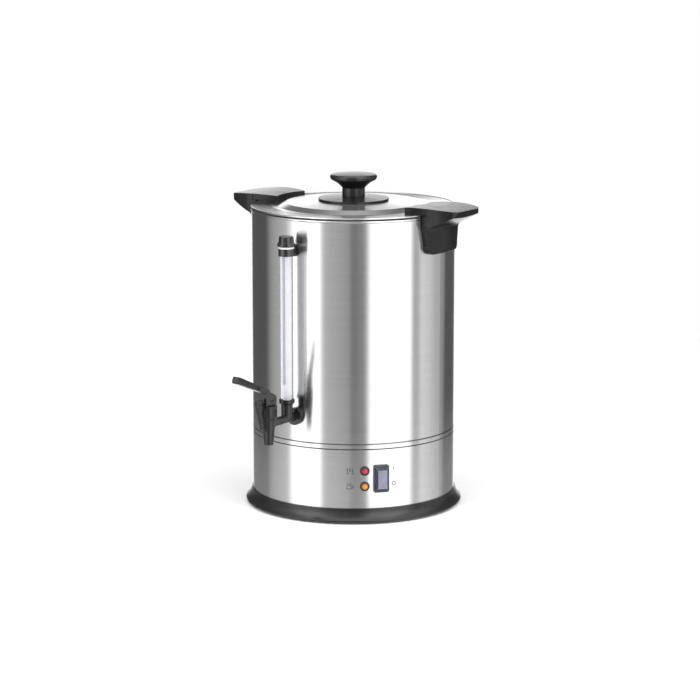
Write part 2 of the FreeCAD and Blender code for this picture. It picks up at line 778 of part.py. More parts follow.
def make_skirt():
    skirt_top = SEAM_Z - SEAM_GAP
    skirt = tube(TANK_R, TANK_BORE, RING_LEDGE_Z, skirt_top)
    flange = tube(TANK_R, TANK_R - SKIRT_FLANGE_W, RING_LEDGE_Z, RING_LEDGE_Z + SHEET)
    step = tube(TANK_BORE + SHEET / 2, SKIRT_LAP_R - SHEET, skirt_top - SHEET, skirt_top)
    lap = tube(SKIRT_LAP_R, SKIRT_LAP_R - SHEET, skirt_top - SHEET / 2, SEAM_Z + SEAM_LAP)
    skirt = skirt.fuse([flange, step, lap])
    tools = []
    for z in lamp_places():
        tools.append(at_azimuth(wall_hole(LAMP_BODY_R, 0, z), LAMP_AZIMUTH))
    tools.append(at_azimuth(wall_window(HOUSING_W, HOUSING_H, SWITCH_Z), SWITCH_AZIMUTH))
    tools.append(at_azimuth(wall_window(INLET_W, INLET_H, INLET_Z), 180))
    for v in (-INLET_SCREW_PITCH / 2, INLET_SCREW_PITCH / 2):
        tools.append(at_azimuth(wall_hole(INLET_SCREW_R, v, INLET_Z), 180))
    for azimuth in BOSS_AZIMUTHS:
        x, y = polar(BOSS_CIRCLE_R, azimuth)
        tools.append(cyl(SCREW_SHANK_R, RING_LEDGE_Z - PAST, RING_LEDGE_Z + SHEET + PAST, x, y))
    save("base_skirt", skirt.cut(tools).removeSplitter())


def make_foot_ring():
    flare_mid = vec(RING_TOP_R + RING_FLARE_IN * (RING_BASE_R - RING_TOP_R), 0,
                    RING_WIDEST_Z + RING_FLARE_UP * (RING_TOP_Z - RING_WIDEST_Z))
    top = vec(RING_TOP_R, 0, RING_TOP_Z)
    widest = vec(RING_BASE_R, 0, RING_WIDEST_Z)
    under_mid = vec(RING_BASE_R - RING_EDGE_MID_IN, 0, RING_BOTTOM_Z + RING_EDGE_MID_UP)
    under = vec(RING_BASE_R - RING_EDGE_W, 0, RING_BOTTOM_Z)
    seat_r = TANK_R + WALL_CLEAR
    ledge_r = seat_r - RING_LEDGE_W
    ledge_low = RING_LEDGE_Z - RING_FLANGE
    inner_low = RING_BASE_R - RING_WALL - RING_WALL_LEAN
    floor_top = RING_BOTTOM_Z + RING_FLANGE
    rest = [under, vec(RING_INNER_R, 0, RING_BOTTOM_Z), vec(RING_INNER_R, 0, floor_top),
            vec(inner_low, 0, floor_top), vec(seat_r + RING_TOP_WALL, 0, ledge_low),
            vec(ledge_r, 0, ledge_low), vec(ledge_r, 0, RING_LEDGE_Z),
            vec(seat_r, 0, RING_LEDGE_Z), vec(seat_r, 0, RING_TOP_Z), top]
    edges = [Part.Arc(top, flare_mid, widest).toShape(), Part.Arc(widest, under_mid, under).toShape()]
    edges += Part.makePolygon(rest).Edges
    ring = turned_edges(edges)
    tools = []
    for azimuth in BOSS_AZIMUTHS:
        x, y = polar(BOSS_CIRCLE_R, azimuth)
        ring = ring.fuse(cyl(BOSS_R, RING_BOTTOM_Z, RING_LEDGE_Z, x, y))
        tools.append(cyl(SCREW_SHANK_R, 0, RING_LEDGE_Z + PAST, x, y))
        tools.append(cyl(SCREW_HEAD_R, 0, RING_BOTTOM_Z + SCREW_HEAD_T, x, y))
    for azimuth in PLATE_SCREW_AZIMUTHS:
        x, y = polar(PLATE_SCREW_CIRCLE_R, azimuth)
        tools.append(cyl(SCREW_SHANK_R, 0, floor_top + PAST, x, y))
        tools.append(cyl(PLATE_SCREW_HEAD_R, 0, RING_BOTTOM_Z + SCREW_HEAD_T, x, y))
    for azimuth in FOOT_AZIMUTHS:
        x, y = polar(FOOT_CIRCLE_R, azimuth)
        tools.append(cyl(FOOT_R, 0, RING_BOTTOM_Z + FOOT_POCKET, x, y))
    save("foot_ring", ring.cut(tools))


def screw(shank, head, low, head_top, high, x, y):
    """Upright screw with its head at the bottom."""
    return cyl(head, low, head_top, x, y).fuse(cyl(shank, low, high, x, y))


def make_bottom():
    floor_top = RING_BOTTOM_Z + RING_FLANGE
    plate_disc = cyl(PLATE_R, floor_top, PLATE_TOP_Z)
    tools = []
    for azimuth in around(VENT_COUNT):
        x, y = polar(VENT_CIRCLE_R, azimuth)
        tools.append(cyl(VENT_R, floor_top - PAST, PLATE_TOP_Z + PAST, x, y))
    for azimuth in PLATE_SCREW_AZIMUTHS:
        x, y = polar(PLATE_SCREW_CIRCLE_R, azimuth)
        tools.append(cyl(SCREW_SHANK_R, floor_top - PAST, PLATE_TOP_Z + PAST, x, y))
    save("bottom_plate", plate_disc.cut(tools))
    head_top = RING_BOTTOM_Z + SCREW_HEAD_T
    screws = []
    for azimuth in BOSS_AZIMUTHS:
        x, y = polar(BOSS_CIRCLE_R, azimuth)
        screws.append(screw(SCREW_SHANK_R, SCREW_HEAD_R, RING_BOTTOM_Z, head_top,
                            RING_LEDGE_Z + SHEET, x, y))
    for azimuth in PLATE_SCREW_AZIMUTHS:
        x, y = polar(PLATE_SCREW_CIRCLE_R, azimuth)
        screws.append(screw(SCREW_SHANK_R, PLATE_SCREW_HEAD_R, RING_BOTTOM_Z, head_top,
                            PLATE_TOP_Z, x, y))
    save("bottom_screws", *screws)
    feet = []
    for azimuth in FOOT_AZIMUTHS:
        x, y = polar(FOOT_CIRCLE_R, azimuth)
        feet.append(cyl(FOOT_R, 0, RING_BOTTOM_Z + FOOT_POCKET, x, y))
    save("rubber_feet", *feet)


def element_ring(ring_radius, wire_radius, top_z):
    """Open heating ring with two cold pins turned down."""
    z = top_z - wire_radius
    gap = 360.0 - ELEMENT_SWEEP
    ring = Part.makeTorus(ring_radius, wire_radius, vec(0, 0, z), UP, 0, 360, ELEMENT_SWEEP)
    ring.rotate(ORIGIN, UP, gap / 2)
    pins = []
    for angle in (gap / 2, -gap / 2):
        x = ring_radius * math.cos(math.radians(angle))
        y = ring_radius * math.sin(math.radians(angle))
        pins.append(Part.makeSphere(wire_radius, vec(x, y, z)))
        pins.append(cyl(COLD_PIN_R, z - COLD_PIN_LEN, z, x, y))
    return ring.fuse(pins).removeSplitter()


def make_heater():
    disc = tube(HEATER_R, HEATER_HOLE_R, HEATER_LOW_Z, HEATER_TOP_Z)
    nuts = []
    for azimuth in STUD_AZIMUTHS:
        x, y = polar(STUD_CIRCLE_R, azimuth)
        disc = disc.cut(cyl(STUD_R, HEATER_LOW_Z - PAST, HEATER_TOP_Z + PAST, x, y))
        nuts.append(hex_nut(NUT_AF, STUD_R, HEATER_LOW_Z - NUT_T, HEATER_LOW_Z, x, y))
    save("heater_plate", disc)
    save("heater_nuts", *nuts)
    save("boil_element", element_ring(ELEMENT_RING_R, ELEMENT_R, HEATER_LOW_Z))
    save("keep_warm_element", element_ring(WARM_RING_R, WARM_R, HEATER_LOW_Z))
    cutouts = []
    for azimuth in CUTOUT_AZIMUTHS:
        x, y = polar(CUTOUT_CIRCLE_R, azimuth)
        body = cyl(CUTOUT_R, HEATER_LOW_Z - CUTOUT_FLANGE_T, HEATER_LOW_Z, x, y)
        body = body.fuse(cyl(CUTOUT_R - CUTOUT_STEP, HEATER_LOW_Z - CUTOUT_H, HEATER_LOW_Z, x, y))
        for offset in (-TAB_PITCH / 2, TAB_PITCH / 2):
            tab = Part.makeBox(TAB_T, TAB_W, TAB_LEN,
                               vec(x + offset, y - TAB_W / 2, HEATER_LOW_Z - CUTOUT_H - TAB_LEN))
            body = body.fuse(tab)
        cutouts.append(body)
    save("snap_thermostats", *cutouts)
    x, y = polar(CUTOUT_CIRCLE_R, FUSE_AZIMUTH)
    fuse = Part.makeCylinder(FUSE_R, FUSE_LEN, vec(x, y - FUSE_LEN / 2, HEATER_LOW_Z - FUSE_R), SIDE)
    clip = Part.makeBox(FUSE_CLIP_L, FUSE_CLIP_W, FUSE_R,
                        vec(x - FUSE_CLIP_L / 2, y - FUSE_CLIP_W / 2, HEATER_LOW_Z - FUSE_R))
    save("thermal_fuse", fuse.fuse(clip))


def make_terminal_block():
    low = PLATE_TOP_Z
    body = Part.makeBox(BLOCK_L, BLOCK_W, BLOCK_H, vec(-BLOCK_L / 2, BLOCK_Y - BLOCK_W / 2, low))
    pitch = BLOCK_L / BLOCK_WAYS
    tools = []
    for way in range(BLOCK_WAYS):
        x = -BLOCK_L / 2 + pitch * (way + 0.5)
        for y in (BLOCK_Y + BLOCK_W / 2 - BLOCK_PORT_DEPTH, BLOCK_Y - BLOCK_W / 2):
            start = vec(x, y, low + BLOCK_PORT_Z)
            tools.append(Part.makeCylinder(BLOCK_PORT_R, BLOCK_PORT_DEPTH, start, SIDE))
        screw_low = low + BLOCK_H - BLOCK_SCREW_DEPTH
        tools.append(cyl(BLOCK_SCREW_R, screw_low, low + BLOCK_H + PAST, x, BLOCK_Y))
    save("terminal_block", body.cut(tools))


def make_lead_wires():
    """Leads between the inlet and the terminal block."""
    low = PLATE_TOP_Z + BLOCK_PORT_Z
    back = TANK_R + INLET_PROUD - INLET_DEPTH - INLET_BACK - TAB_LEN
    pitch = BLOCK_L / BLOCK_WAYS
    wires = []
    for way in range(BLOCK_WAYS):
        side = way - 1
        x = side * pitch
        pin_z = INLET_Z + (INLET_PIN_OFFSET if side == 0 else -INLET_PIN_OFFSET)
        start = vec(side * INLET_PIN_PITCH, back, pin_z)
        end = vec(x, BLOCK_Y + BLOCK_W / 2 - BLOCK_PORT_DEPTH, low)
        wires.append(wire_path([
            start, start + vec(0, -LEAD_FIRST_RUN, -LEAD_FIRST_DROP),
            vec(x * LEAD_MIDDLE_SPREAD, back - LEAD_MIDDLE_RUN, pin_z - LEAD_MIDDLE_DROP),
            vec(x, BLOCK_Y + BLOCK_W / 2 + LEAD_LOW_RUN, low + LEAD_LOW_RISE),
            end + vec(0, LEAD_LAST_RUN, 0), end], WIRE_R))
    save("lead_wires", *wires)


def make_lamps():
    bezels = []
    bodies = []
    inner = TANK_R - LAMP_BODY_LEN
    lens_back = TANK_R - LAMP_LENS_BACK
    for name, z in (("red_lamp_lens", RED_LAMP_Z), ("amber_lamp_lens", AMBER_LAMP_Z)):
        bezel = rod(LAMP_BEZEL_R, TANK_R - BACKING, TANK_R + LAMP_BEZEL_PROUD, 0, z)
        outer_edge = max(bezel.Edges, key=lambda edge: edge.BoundBox.XMin)
        bezel = bezel.makeChamfer(LAMP_BEZEL_PROUD / 2, [outer_edge])
        bezel = outside_wall(bezel).cut(wall_hole(LAMP_LENS_R, 0, z))
        bezels.append(at_azimuth(bezel, LAMP_AZIMUTH))
        lens = rod(LAMP_LENS_R, lens_back, TANK_R + LAMP_LENS_PROUD, 0, z)
        dome_r = 2 * LAMP_LENS_R
        dome_u = TANK_R + LAMP_LENS_PROUD - dome_r
        lens = lens.common(Part.makeSphere(dome_r, vec(dome_u, 0, z)))
        save(name, at_azimuth(lens, LAMP_AZIMUTH))
        body = rod(LAMP_BODY_R, inner, lens_back, 0, z)
        clip_front = wall_surface(TANK_BORE, LAMP_CLIP_R)
        clip = rod(LAMP_CLIP_R, lens_back - LAMP_CLIP_T, clip_front, 0, z)
        body = body.fuse(clip.cut(rod(LAMP_LENS_R, lens_back, TANK_R, 0, z)))
        for v in (-LAMP_TAB_PITCH / 2, LAMP_TAB_PITCH / 2):
            body = body.fuse(block(inner - TAB_LEN, inner + PAST, v - LAMP_TAB_T / 2,
                                   v + LAMP_TAB_T / 2, z - LAMP_TAB_W / 2, z + LAMP_TAB_W / 2))
        bodies.append(at_azimuth(body, LAMP_AZIMUTH))
    save("lamp_bezels", *bezels)
    save("lamp_bodies", *bodies)


def boot_shell(grow, proud):
    """Truncated pyramid over the rocker, with its sides moved in by grow."""
    base = TANK_R + BEZEL_PROUD
    sections = ((base, BOOT_W, BOOT_H), (base + proud, BOOT_FRONT_W, BOOT_FRONT_H))
    wires = []
    for u, width, height in sections:
        half_w = width / 2 - grow
        half_h = height / 2 - grow
        corners = [vec(u, -half_w, SWITCH_Z - half_h), vec(u, half_w, SWITCH_Z - half_h),
                   vec(u, half_w, SWITCH_Z + half_h), vec(u, -half_w, SWITCH_Z + half_h)]
        wires.append(Part.makePolygon(corners + corners[:1]))
    return Part.makeLoft(wires, True, True)


def make_switch():
    face = TANK_R + BEZEL_PROUD
    bezel = outside_wall(frame(BEZEL_W, BEZEL_H, BEZEL_PROUD + BACKING, TANK_R - BACKING, SWITCH_Z,
                               BEZEL_CORNER))
    body = frame(HOUSING_W, HOUSING_H, HOUSING_DEPTH, face - HOUSING_DEPTH, SWITCH_Z)
    cavity = frame(HOUSING_W - 2 * HOUSING_WALL, HOUSING_H - 2 * HOUSING_WALL, HOUSING_DEPTH,
                   face - HOUSING_DEPTH + HOUSING_BACK, SWITCH_Z)
    housing = bezel.fuse(body).cut(cavity)
    save("switch_housing", at_azimuth(housing.removeSplitter(), SWITCH_AZIMUTH))
    boot = boot_shell(0, BOOT_PROUD).cut(boot_shell(BOOT_WALL, BOOT_PROUD - BOOT_WALL))
    save("switch_boot", at_azimuth(boot, SWITCH_AZIMUTH))
    half = ROCKER_H / 2
    dish = face + ROCKER_FRONT - ROCKER_DISH
    outline = [(face + ROCKER_BACK, SWITCH_Z - half), (face + ROCKER_FRONT, SWITCH_Z - half),
               (dish, SWITCH_Z), (face + ROCKER_FRONT, SWITCH_Z + half),
               (face + ROCKER_BACK, SWITCH_Z + half)]
    rocker = plate(outline, ROCKER_W / 2).fuse(crossbar(ROCKER_HUB_R, ROCKER_W / 2, face, SWITCH_Z))
    pane_u = dish - ROCKER_WINDOW_T
    pane = frame(ROCKER_WINDOW_W, ROCKER_WINDOW_H, ROCKER_FRONT, pane_u, SWITCH_Z)
    window = rocker.common(pane)
    rocker = rocker.cut(pane)
    for name, piece in (("rocker_button", rocker), ("rocker_window", window)):
        piece.rotate(vec(face, 0, SWITCH_Z), SIDE, -ROCKER_TILT)
        save(name, at_azimuth(piece, SWITCH_AZIMUTH))
    tabs = []
    back = face - HOUSING_DEPTH
    for z in (SWITCH_Z - TAB_PITCH, SWITCH_Z, SWITCH_Z + TAB_PITCH):
        tab = block(back - TAB_LEN, back, -TAB_T / 2, TAB_T / 2, z - TAB_W / 2, z + TAB_W / 2)
        tabs.append(at_azimuth(tab, SWITCH_AZIMUTH))
    save("switch_tabs", *tabs)


def make_inlet():
    face = TANK_R + INLET_PROUD
    flange = frame(INLET_FLANGE_W, INLET_FLANGE_H, INLET_PROUD + BACKING, TANK_R - BACKING, INLET_Z,
                   INLET_FLANGE_CORNER)
    body = frame(INLET_W, INLET_H, INLET_DEPTH + INLET_BACK, face - INLET_DEPTH - INLET_BACK, INLET_Z)
    cavity = frame(INLET_CAVITY_W, INLET_CAVITY_H, INLET_DEPTH + PAST, face - INLET_DEPTH, INLET_Z,
                   INLET_CAVITY_CORNER)
    inlet = outside_wall(flange).fuse(body).cut(cavity)
    screws = []
    for v in (-INLET_SCREW_PITCH / 2, INLET_SCREW_PITCH / 2):
        inlet = inlet.cut(wall_hole(INLET_SCREW_R, v, INLET_Z))
        fixing = rod(INLET_SCREW_R, wall_surface(TANK_BORE, v) - INLET_SCREW_LEN, face, v, INLET_Z)
        fixing = fixing.fuse(rod(INLET_SCREW_HEAD_R, face, face + INLET_SCREW_HEAD_T, v, INLET_Z))
        screws.append(at_azimuth(fixing, 180))
    save("inlet_socket", at_azimuth(inlet.removeSplitter(), 180))
    save("inlet_screws", *screws)
    pins = []
    back = face - INLET_DEPTH
    for v, z in ((-INLET_PIN_PITCH, INLET_Z - INLET_PIN_OFFSET), (0, INLET_Z + INLET_PIN_OFFSET),
                 (INLET_PIN_PITCH, INLET_Z - INLET_PIN_OFFSET)):
        pin = block(back, face - INLET_PIN_SHORT, v - INLET_PIN_T / 2, v + INLET_PIN_T / 2,
                    z - INLET_PIN_W / 2, z + INLET_PIN_W / 2)
        pins.append(at_azimuth(pin, 180))
        tail_end = back - INLET_BACK
        tail = block(tail_end - TAB_LEN + WIRE_GAP, tail_end, v - INLET_PIN_T / 2, v + INLET_PIN_T / 2,
                     z - INLET_PIN_W / 2, z + INLET_PIN_W / 2)
        pins.append(at_azimuth(tail, 180))
    save("inlet_pins", *pins)


def grip_blank():
    """Crowned block with the plan outline that a handle and its lid lug share."""
    low = HANDLE_BOTTOM_Z - BLANK
    inner_u = wall_surface(GRIP_INNER_R, GRIP_INNER_HALF)
    edge_mid = GRIP_CORNER_U + GRIP_NOSE_OUT * (GRIP_FRONT_U - GRIP_CORNER_U)
    half_mid = GRIP_FRONT_HALF + GRIP_NOSE_SIDE * (GRIP_CORNER_HALF - GRIP_FRONT_HALF)
    arcs = (((inner_u, GRIP_INNER_HALF), (GRIP_WAIST_U, GRIP_WAIST_HALF),
             (GRIP_WIDEST_U, GRIP_WIDEST_HALF)),
            ((GRIP_WIDEST_U, GRIP_WIDEST_HALF), (GRIP_SHOULDER_U, GRIP_SHOULDER_HALF),
             (GRIP_CORNER_U, GRIP_CORNER_HALF)),
            ((GRIP_CORNER_U, GRIP_CORNER_HALF), (edge_mid, half_mid), (GRIP_FRONT_U, GRIP_FRONT_HALF)))
    edges = []
    for side in (-1, 1):
        for arc in arcs:
            edges.append(Part.Arc(*[vec(u, side * half, low) for u, half in arc]).toShape())
    for u, half in ((inner_u, GRIP_INNER_HALF), (GRIP_FRONT_U, GRIP_FRONT_HALF)):
        edges.append(Part.LineSegment(vec(u, -half, low), vec(u, half, low)).toShape())
    outline = Part.Wire(Part.__sortEdges__(edges))
    plan = Part.Face(outline).extrude(vec(0, 0, FAR))
    crown = crossbar(GRIP_CROWN_R, GRIP_WIDEST_HALF + BLANK, GRIP_CROWN_U, GRIP_CROWN_Z - GRIP_CROWN_R)
    return plan.common(crown).cut(cyl(GRIP_INNER_R, low - PAST, FAR))


def crown_z(u):
    """Height of the crowned top at an outward distance."""
    return GRIP_CROWN_Z - GRIP_CROWN_R + math.sqrt(GRIP_CROWN_R ** 2 - (u - GRIP_CROWN_U) ** 2)


def handle_front():
    """Front outline of a handle: wide above the shoulder, a tapering shield below it."""
    half = GRIP_WIDEST_HALF + BLANK
    shoulder = HANDLE_SHOULDER_Z
    low = HANDLE_LOW_Z
    bottom = HANDLE_BOTTOM_Z
    corner = HANDLE_CORNER
    right = [vec(0, HANDLE_HALF_LOW - corner, bottom),
             vec(0, HANDLE_HALF_LOW - HANDLE_CORNER_IN * corner, bottom + HANDLE_CORNER_UP * corner),
             vec(0, HANDLE_HALF_LOW, low)]
    left = [vec(0, -p.y, p.z) for p in right]
    edges = [Part.Arc(*right).toShape(), Part.Arc(*left).toShape(),
             Part.LineSegment(left[0], right[0]).toShape()]
    upper = [right[2], vec(0, HANDLE_HALF_TOP, shoulder), vec(0, half, shoulder), vec(0, half, FAR),
             vec(0, -half, FAR), vec(0, -half, shoulder), vec(0, -HANDLE_HALF_TOP, shoulder), left[2]]
    edges += Part.makePolygon(upper).Edges
    return Part.Face(Part.Wire(Part.__sortEdges__(edges))).extrude(vec(FAR, 0, 0))


def handle_section():
    """Wall piece and wing of a handle, turned about the tank's axis."""
    neck = vec(HANDLE_OUTER_R, 0, HANDLE_NECK_Z)
    slope_start = vec(HANDLE_SLOPE_R, 0, HANDLE_SLOPE_Z)
    bend = vec(HANDLE_OUTER_R + HANDLE_BEND_OUT, 0, HANDLE_NECK_Z + HANDLE_BEND_UP)
    reach = GRIP_FRONT_U + BLANK
    slope_end_z = HANDLE_SLOPE_Z + (reach - HANDLE_SLOPE_R) * math.tan(math.radians(HANDLE_SLOPE))
    wall_r = TANK_R + WALL_CLEAR
    rim_r = TANK_R + LID_HEM_PROUD + RIM_CLEAR
    rim_low = BEAD_Z - BEAD_R - RIM_CLEAR
    rest = [slope_start, vec(reach, 0, slope_end_z), vec(reach, 0, FAR),
            vec(HANDLE_INNER_R, 0, FAR), vec(HANDLE_INNER_R, 0, HANDLE_LEDGE_Z),
            vec(rim_r, 0, HANDLE_LEDGE_Z), vec(rim_r, 0, rim_low), vec(wall_r, 0, rim_low),
            vec(wall_r, 0, HANDLE_BOTTOM_Z),
            vec(HANDLE_OUTER_R - HANDLE_BOTTOM_ROUND, 0, HANDLE_BOTTOM_Z)]
    bevel = HANDLE_BOTTOM_ROUND * (1 - math.sqrt(0.5))
    corner_mid = vec(HANDLE_OUTER_R - bevel, 0, HANDLE_BOTTOM_Z + bevel)
    corner_end = vec(HANDLE_OUTER_R, 0, HANDLE_BOTTOM_Z + HANDLE_BOTTOM_ROUND)
    edges = [Part.Arc(neck, bend, slope_start).toShape()]
    edges += Part.makePolygon(rest).Edges
    edges.append(Part.Arc(rest[-1], corner_mid, corner_end).toShape())
    edges.append(Part.LineSegment(corner_end, neck).toShape())
    return turned_edges(edges)


def make_handles():
    handle = handle_section().common(grip_blank()).common(handle_front())
    top_z = crown_z(GRIP_FRONT_U)
    low_u = GRIP_FRONT_U - 2 * HANDLE_FRONT_LEAN
    low_z = top_z - 2 * HANDLE_FRONT_DROP
    front_cut = plate([(GRIP_FRONT_U, top_z), (low_u, low_z), (GRIP_FRONT_U + BLANK, low_z),
                       (GRIP_FRONT_U + BLANK, top_z)], GRIP_WIDEST_HALF)
    handle = handle.cut(front_cut)
    screws = []
    washers = []
    for v in (-HANDLE_SCREW_V, HANDLE_SCREW_V):
        inner = wall_surface(TANK_BORE, v + math.copysign(HANDLE_SCREW_R, v))
        washer_inner = inner - HANDLE_WASHER_T
        shank_end = HANDLE_OUTER_R - HANDLE_SCREW_COVER
        shank = rod(HANDLE_SCREW_R, washer_inner - PAST, shank_end, v, HANDLE_SCREW_Z)
        handle = handle.cut(shank)
        ring = rod(HANDLE_WASHER_R, washer_inner, TANK_R, v, HANDLE_SCREW_Z)
        ring = ring.cut(wall_hole(HANDLE_SCREW_R, v, HANDLE_SCREW_Z))
        washers.append(inside_wall(ring, HANDLE_BOTTOM_Z, RIM_Z))
        head_end = washer_inner - HANDLE_SCREW_HEAD_T
        head = rod(HANDLE_SCREW_HEAD_R, head_end, washer_inner, v, HANDLE_SCREW_Z)
        screws.append(head.fuse(shank))
    save("right_handle", at_azimuth(handle, HANDLE_AZIMUTH))
    save("left_handle", at_azimuth(handle, -HANDLE_AZIMUTH))
    save("handle_screws", *both_sides(screws))
    save("handle_washers", *both_sides(washers))


def make_lid():
    top = LID_TOP_Z
    raised = top + LID_RISE
    centre = LID_CENTRE_Z
    under = [(0, centre - SHEET), (LID_CROWN_R, centre - SHEET), (LID_RAISED_R, raised - SHEET),
             (LID_STEP_R, top - SHEET), (LID_HEM_RING_R, top - SHEET)]
    over = [(LID_HEM_RING_R, top), (LID_STEP_R, top), (LID_RAISED_R, raised),
            (LID_CROWN_R, centre), (0, centre)]
    disc = turned(*(under + over))
    hem = torus(LID_HEM_RING_R, LID_HEM_R, LID_HEM_Z)
    spigot = tube(LID_SPIGOT_R, LID_SPIGOT_R - SHEET, top - LID_SPIGOT_DROP, top - SHEET / 2)
    lid = disc.fuse([hem, spigot])
    rivet_holes = [cyl(RIVET_R, top - SHEET - PAST, top + PAST, RIVET_U, v) for v in (-RIVET_V, RIVET_V)]
    tools = [cyl(KNOB_SCREW_R, top, centre + PAST)] + both_sides(rivet_holes)
    save("lid_disc", lid.cut(tools).removeSplitter())
    low = RIM_Z + SEAL_GAP
    inner = LID_SPIGOT_R + SEAL_GAP
    lip = LID_UNDER_Z - SEAL_GAP
    lip_r = LID_HEM_RING_R - LID_HEM_R - SEAL_GAP
    save("lid_gasket", turned((inner, low), (GASKET_OUT, low), (GASKET_OUT, low + GASKET_T),
                              (lip_r, low + GASKET_T), (lip_r, lip), (inner, lip)))


def make_lugs():
    keep = cyl(LUG_R, LID_TOP_Z, FAR)
    lug = grip_blank().common(keep)
    lug = lug.cut(tube(LUG_R + PAST, LUG_FLAT_R, LID_TOP_Z - PAST, LUG_UNDER_Z))
    rivets = []
    depth = LID_TOP_Z + RIVET_DEPTH
    for v in (-RIVET_V, RIVET_V):
        shank = cyl(RIVET_R, LID_UNDER_Z - PAST, depth, RIVET_U, v)
        lug = lug.cut(shank)
        head = cyl(RIVET_HEAD_R, LID_UNDER_Z - RIVET_HEAD_T, LID_UNDER_Z, RIVET_U, v)
        rivets.append(head.fuse(shank))
    save("right_lid_lug", at_azimuth(lug, HANDLE_AZIMUTH))
    save("left_lid_lug", at_azimuth(lug, -HANDLE_AZIMUTH))
    save("lug_rivets", *both_sides(rivets))


def make_knob():
    low = LID_CENTRE_Z
    edge = low + KNOB_FLANGE_EDGE
    top = edge + KNOB_FLANGE_CONE
    chamfer = KNOB_FLANGE_CHAMFER
    flange = turned((KNOB_SCREW_R, low), (KNOB_FLANGE_R - chamfer, low), (KNOB_FLANGE_R, low + chamfer),
                    (KNOB_FLANGE_R, edge), (KNOB_STEM_R, top), (KNOB_SCREW_R, top))
    save("knob_flange", flange)
    stem_low = vec(KNOB_STEM_R, 0, top)
    stem_high = vec(KNOB_STEM_R, 0, KNOB_STEM_TOP_Z)
    throat = vec(KNOB_THROAT_R, 0, KNOB_THROAT_Z)
    under = vec(KNOB_UNDER_R, 0, KNOB_UNDER_Z)
    widest = vec(KNOB_R, 0, KNOB_WIDEST_Z)
    under_mid = vec(KNOB_R - KNOB_BELLY_IN, 0, KNOB_WIDEST_Z - KNOB_BELLY_DROP)
    edge_r = KNOB_R - KNOB_EDGE_R
    bevel = KNOB_EDGE_R * math.sqrt(0.5)
    over_mid = vec(edge_r + bevel, 0, KNOB_WIDEST_Z + bevel)
    over = vec(edge_r, 0, KNOB_WIDEST_Z + KNOB_EDGE_R)
    crown = vec(0, 0, KNOB_TOP_Z)
    rise = KNOB_TOP_Z - over.z
    crown_r = (edge_r ** 2 + rise ** 2) / (2 * rise)
    crown_mid = vec(edge_r / 2, 0, KNOB_TOP_Z - crown_r + wall_surface(crown_r, edge_r / 2))
    edges = [Part.LineSegment(stem_low, stem_high).toShape(),
             Part.Arc(stem_high, throat, under).toShape(),
             Part.Arc(under, under_mid, widest).toShape(),
             Part.Arc(widest, over_mid, over).toShape(),
             Part.Arc(over, crown_mid, crown).toShape()]
    edges += Part.makePolygon([crown, vec(0, 0, KNOB_SCREW_DEPTH_Z),
                               vec(KNOB_SCREW_R, 0, KNOB_SCREW_DEPTH_Z),
                               vec(KNOB_SCREW_R, 0, top), stem_low]).Edges
    save("lid_knob", turned_edges(edges))
    washer_top = LID_CENTRE_Z - SHEET
    head_top = washer_top - KNOB_WASHER_T
    shank = cyl(KNOB_SCREW_R, head_top, KNOB_SCREW_DEPTH_Z)
    washer = cyl(KNOB_WASHER_R, head_top, washer_top)
    head = cyl(KNOB_SCREW_HEAD_R, head_top - KNOB_SCREW_HEAD_T, head_top)
    save("knob_screw", shank.fuse([washer, head]))


def make_gauge():
    bore = GAUGE_TUBE_R - GAUGE_TUBE_WALL
    u = GAUGE_U
    glass = tube(GAUGE_TUBE_R, bore, GAUGE_BOTTOM_Z, BRACKET_TOP_Z, u, 0)
    save("gauge_tube", at_azimuth(glass, 0))
    flange_end = SHANK_FACE_U + SHANK_NUT_T
    cup_low = GAUGE_BOTTOM_Z - GAUGE_CUP_FLOOR
    thread_end = TANK_R - SHANK_THREAD_IN
    spigot_end = JOINT_U + SPIGOT_LEN
    tee = rod(SHANK_R, flange_end - PAST, JOINT_U, 0, SHANK_Z)
    tee = tee.fuse([rod(SHANK_NUT_R, SHANK_FACE_U, flange_end, 0, SHANK_Z),
                    rod(SHANK_THREAD_R, thread_end, SHANK_FACE_U + PAST, 0, SHANK_Z),
                    rod(SPIGOT_R, JOINT_U - PAST, spigot_end, 0, SHANK_Z),
                    cyl(GAUGE_NECK_R, SHANK_Z, cup_low, u, 0)])
    cup = turned((0, cup_low - GAUGE_CUP_TAPER), (GAUGE_NECK_R, cup_low - GAUGE_CUP_TAPER),
                 (GAUGE_CUP_R, cup_low), (GAUGE_CUP_R, CUP_TOP_Z), (0, CUP_TOP_Z))
    cup.translate(vec(u, 0, 0))
    tee = tee.fuse(cup)
    tee = tee.cut([rod(SHANK_BORE_R, thread_end - PAST, spigot_end + PAST, 0, SHANK_Z),
                   cyl(SHANK_BORE_R, SHANK_Z, CUP_TOP_Z, u, 0),
                   cyl(GAUGE_TUBE_R, GAUGE_BOTTOM_Z, CUP_TOP_Z + PAST, u, 0)])
    save("gauge_tee", at_azimuth(tee.removeSplitter(), 0))
    outer_seal = outside_wall(rod(SEAL_R, TANK_R - BACKING, SHANK_FACE_U, 0, SHANK_Z))
    inner_face = wall_surface(TANK_BORE, SEAL_R) - SEAL_T
    inner_seal = inside_wall(rod(SEAL_R, inner_face, TANK_R, 0, SHANK_Z), TANK_FLOOR_Z, RIM_Z)
    hole = wall_hole(SHANK_THREAD_R, 0, SHANK_Z)
    save("shank_seals", at_azimuth(outer_seal.cut(hole), 0), at_azimuth(inner_seal.cut(hole), 0))
    nut = hexagon(LOCK_NUT_AF, inner_face - LOCK_NUT_T, inner_face, 0, SHANK_Z).cut(hole)
    save("shank_lock_nut", at_azimuth(nut, 0))


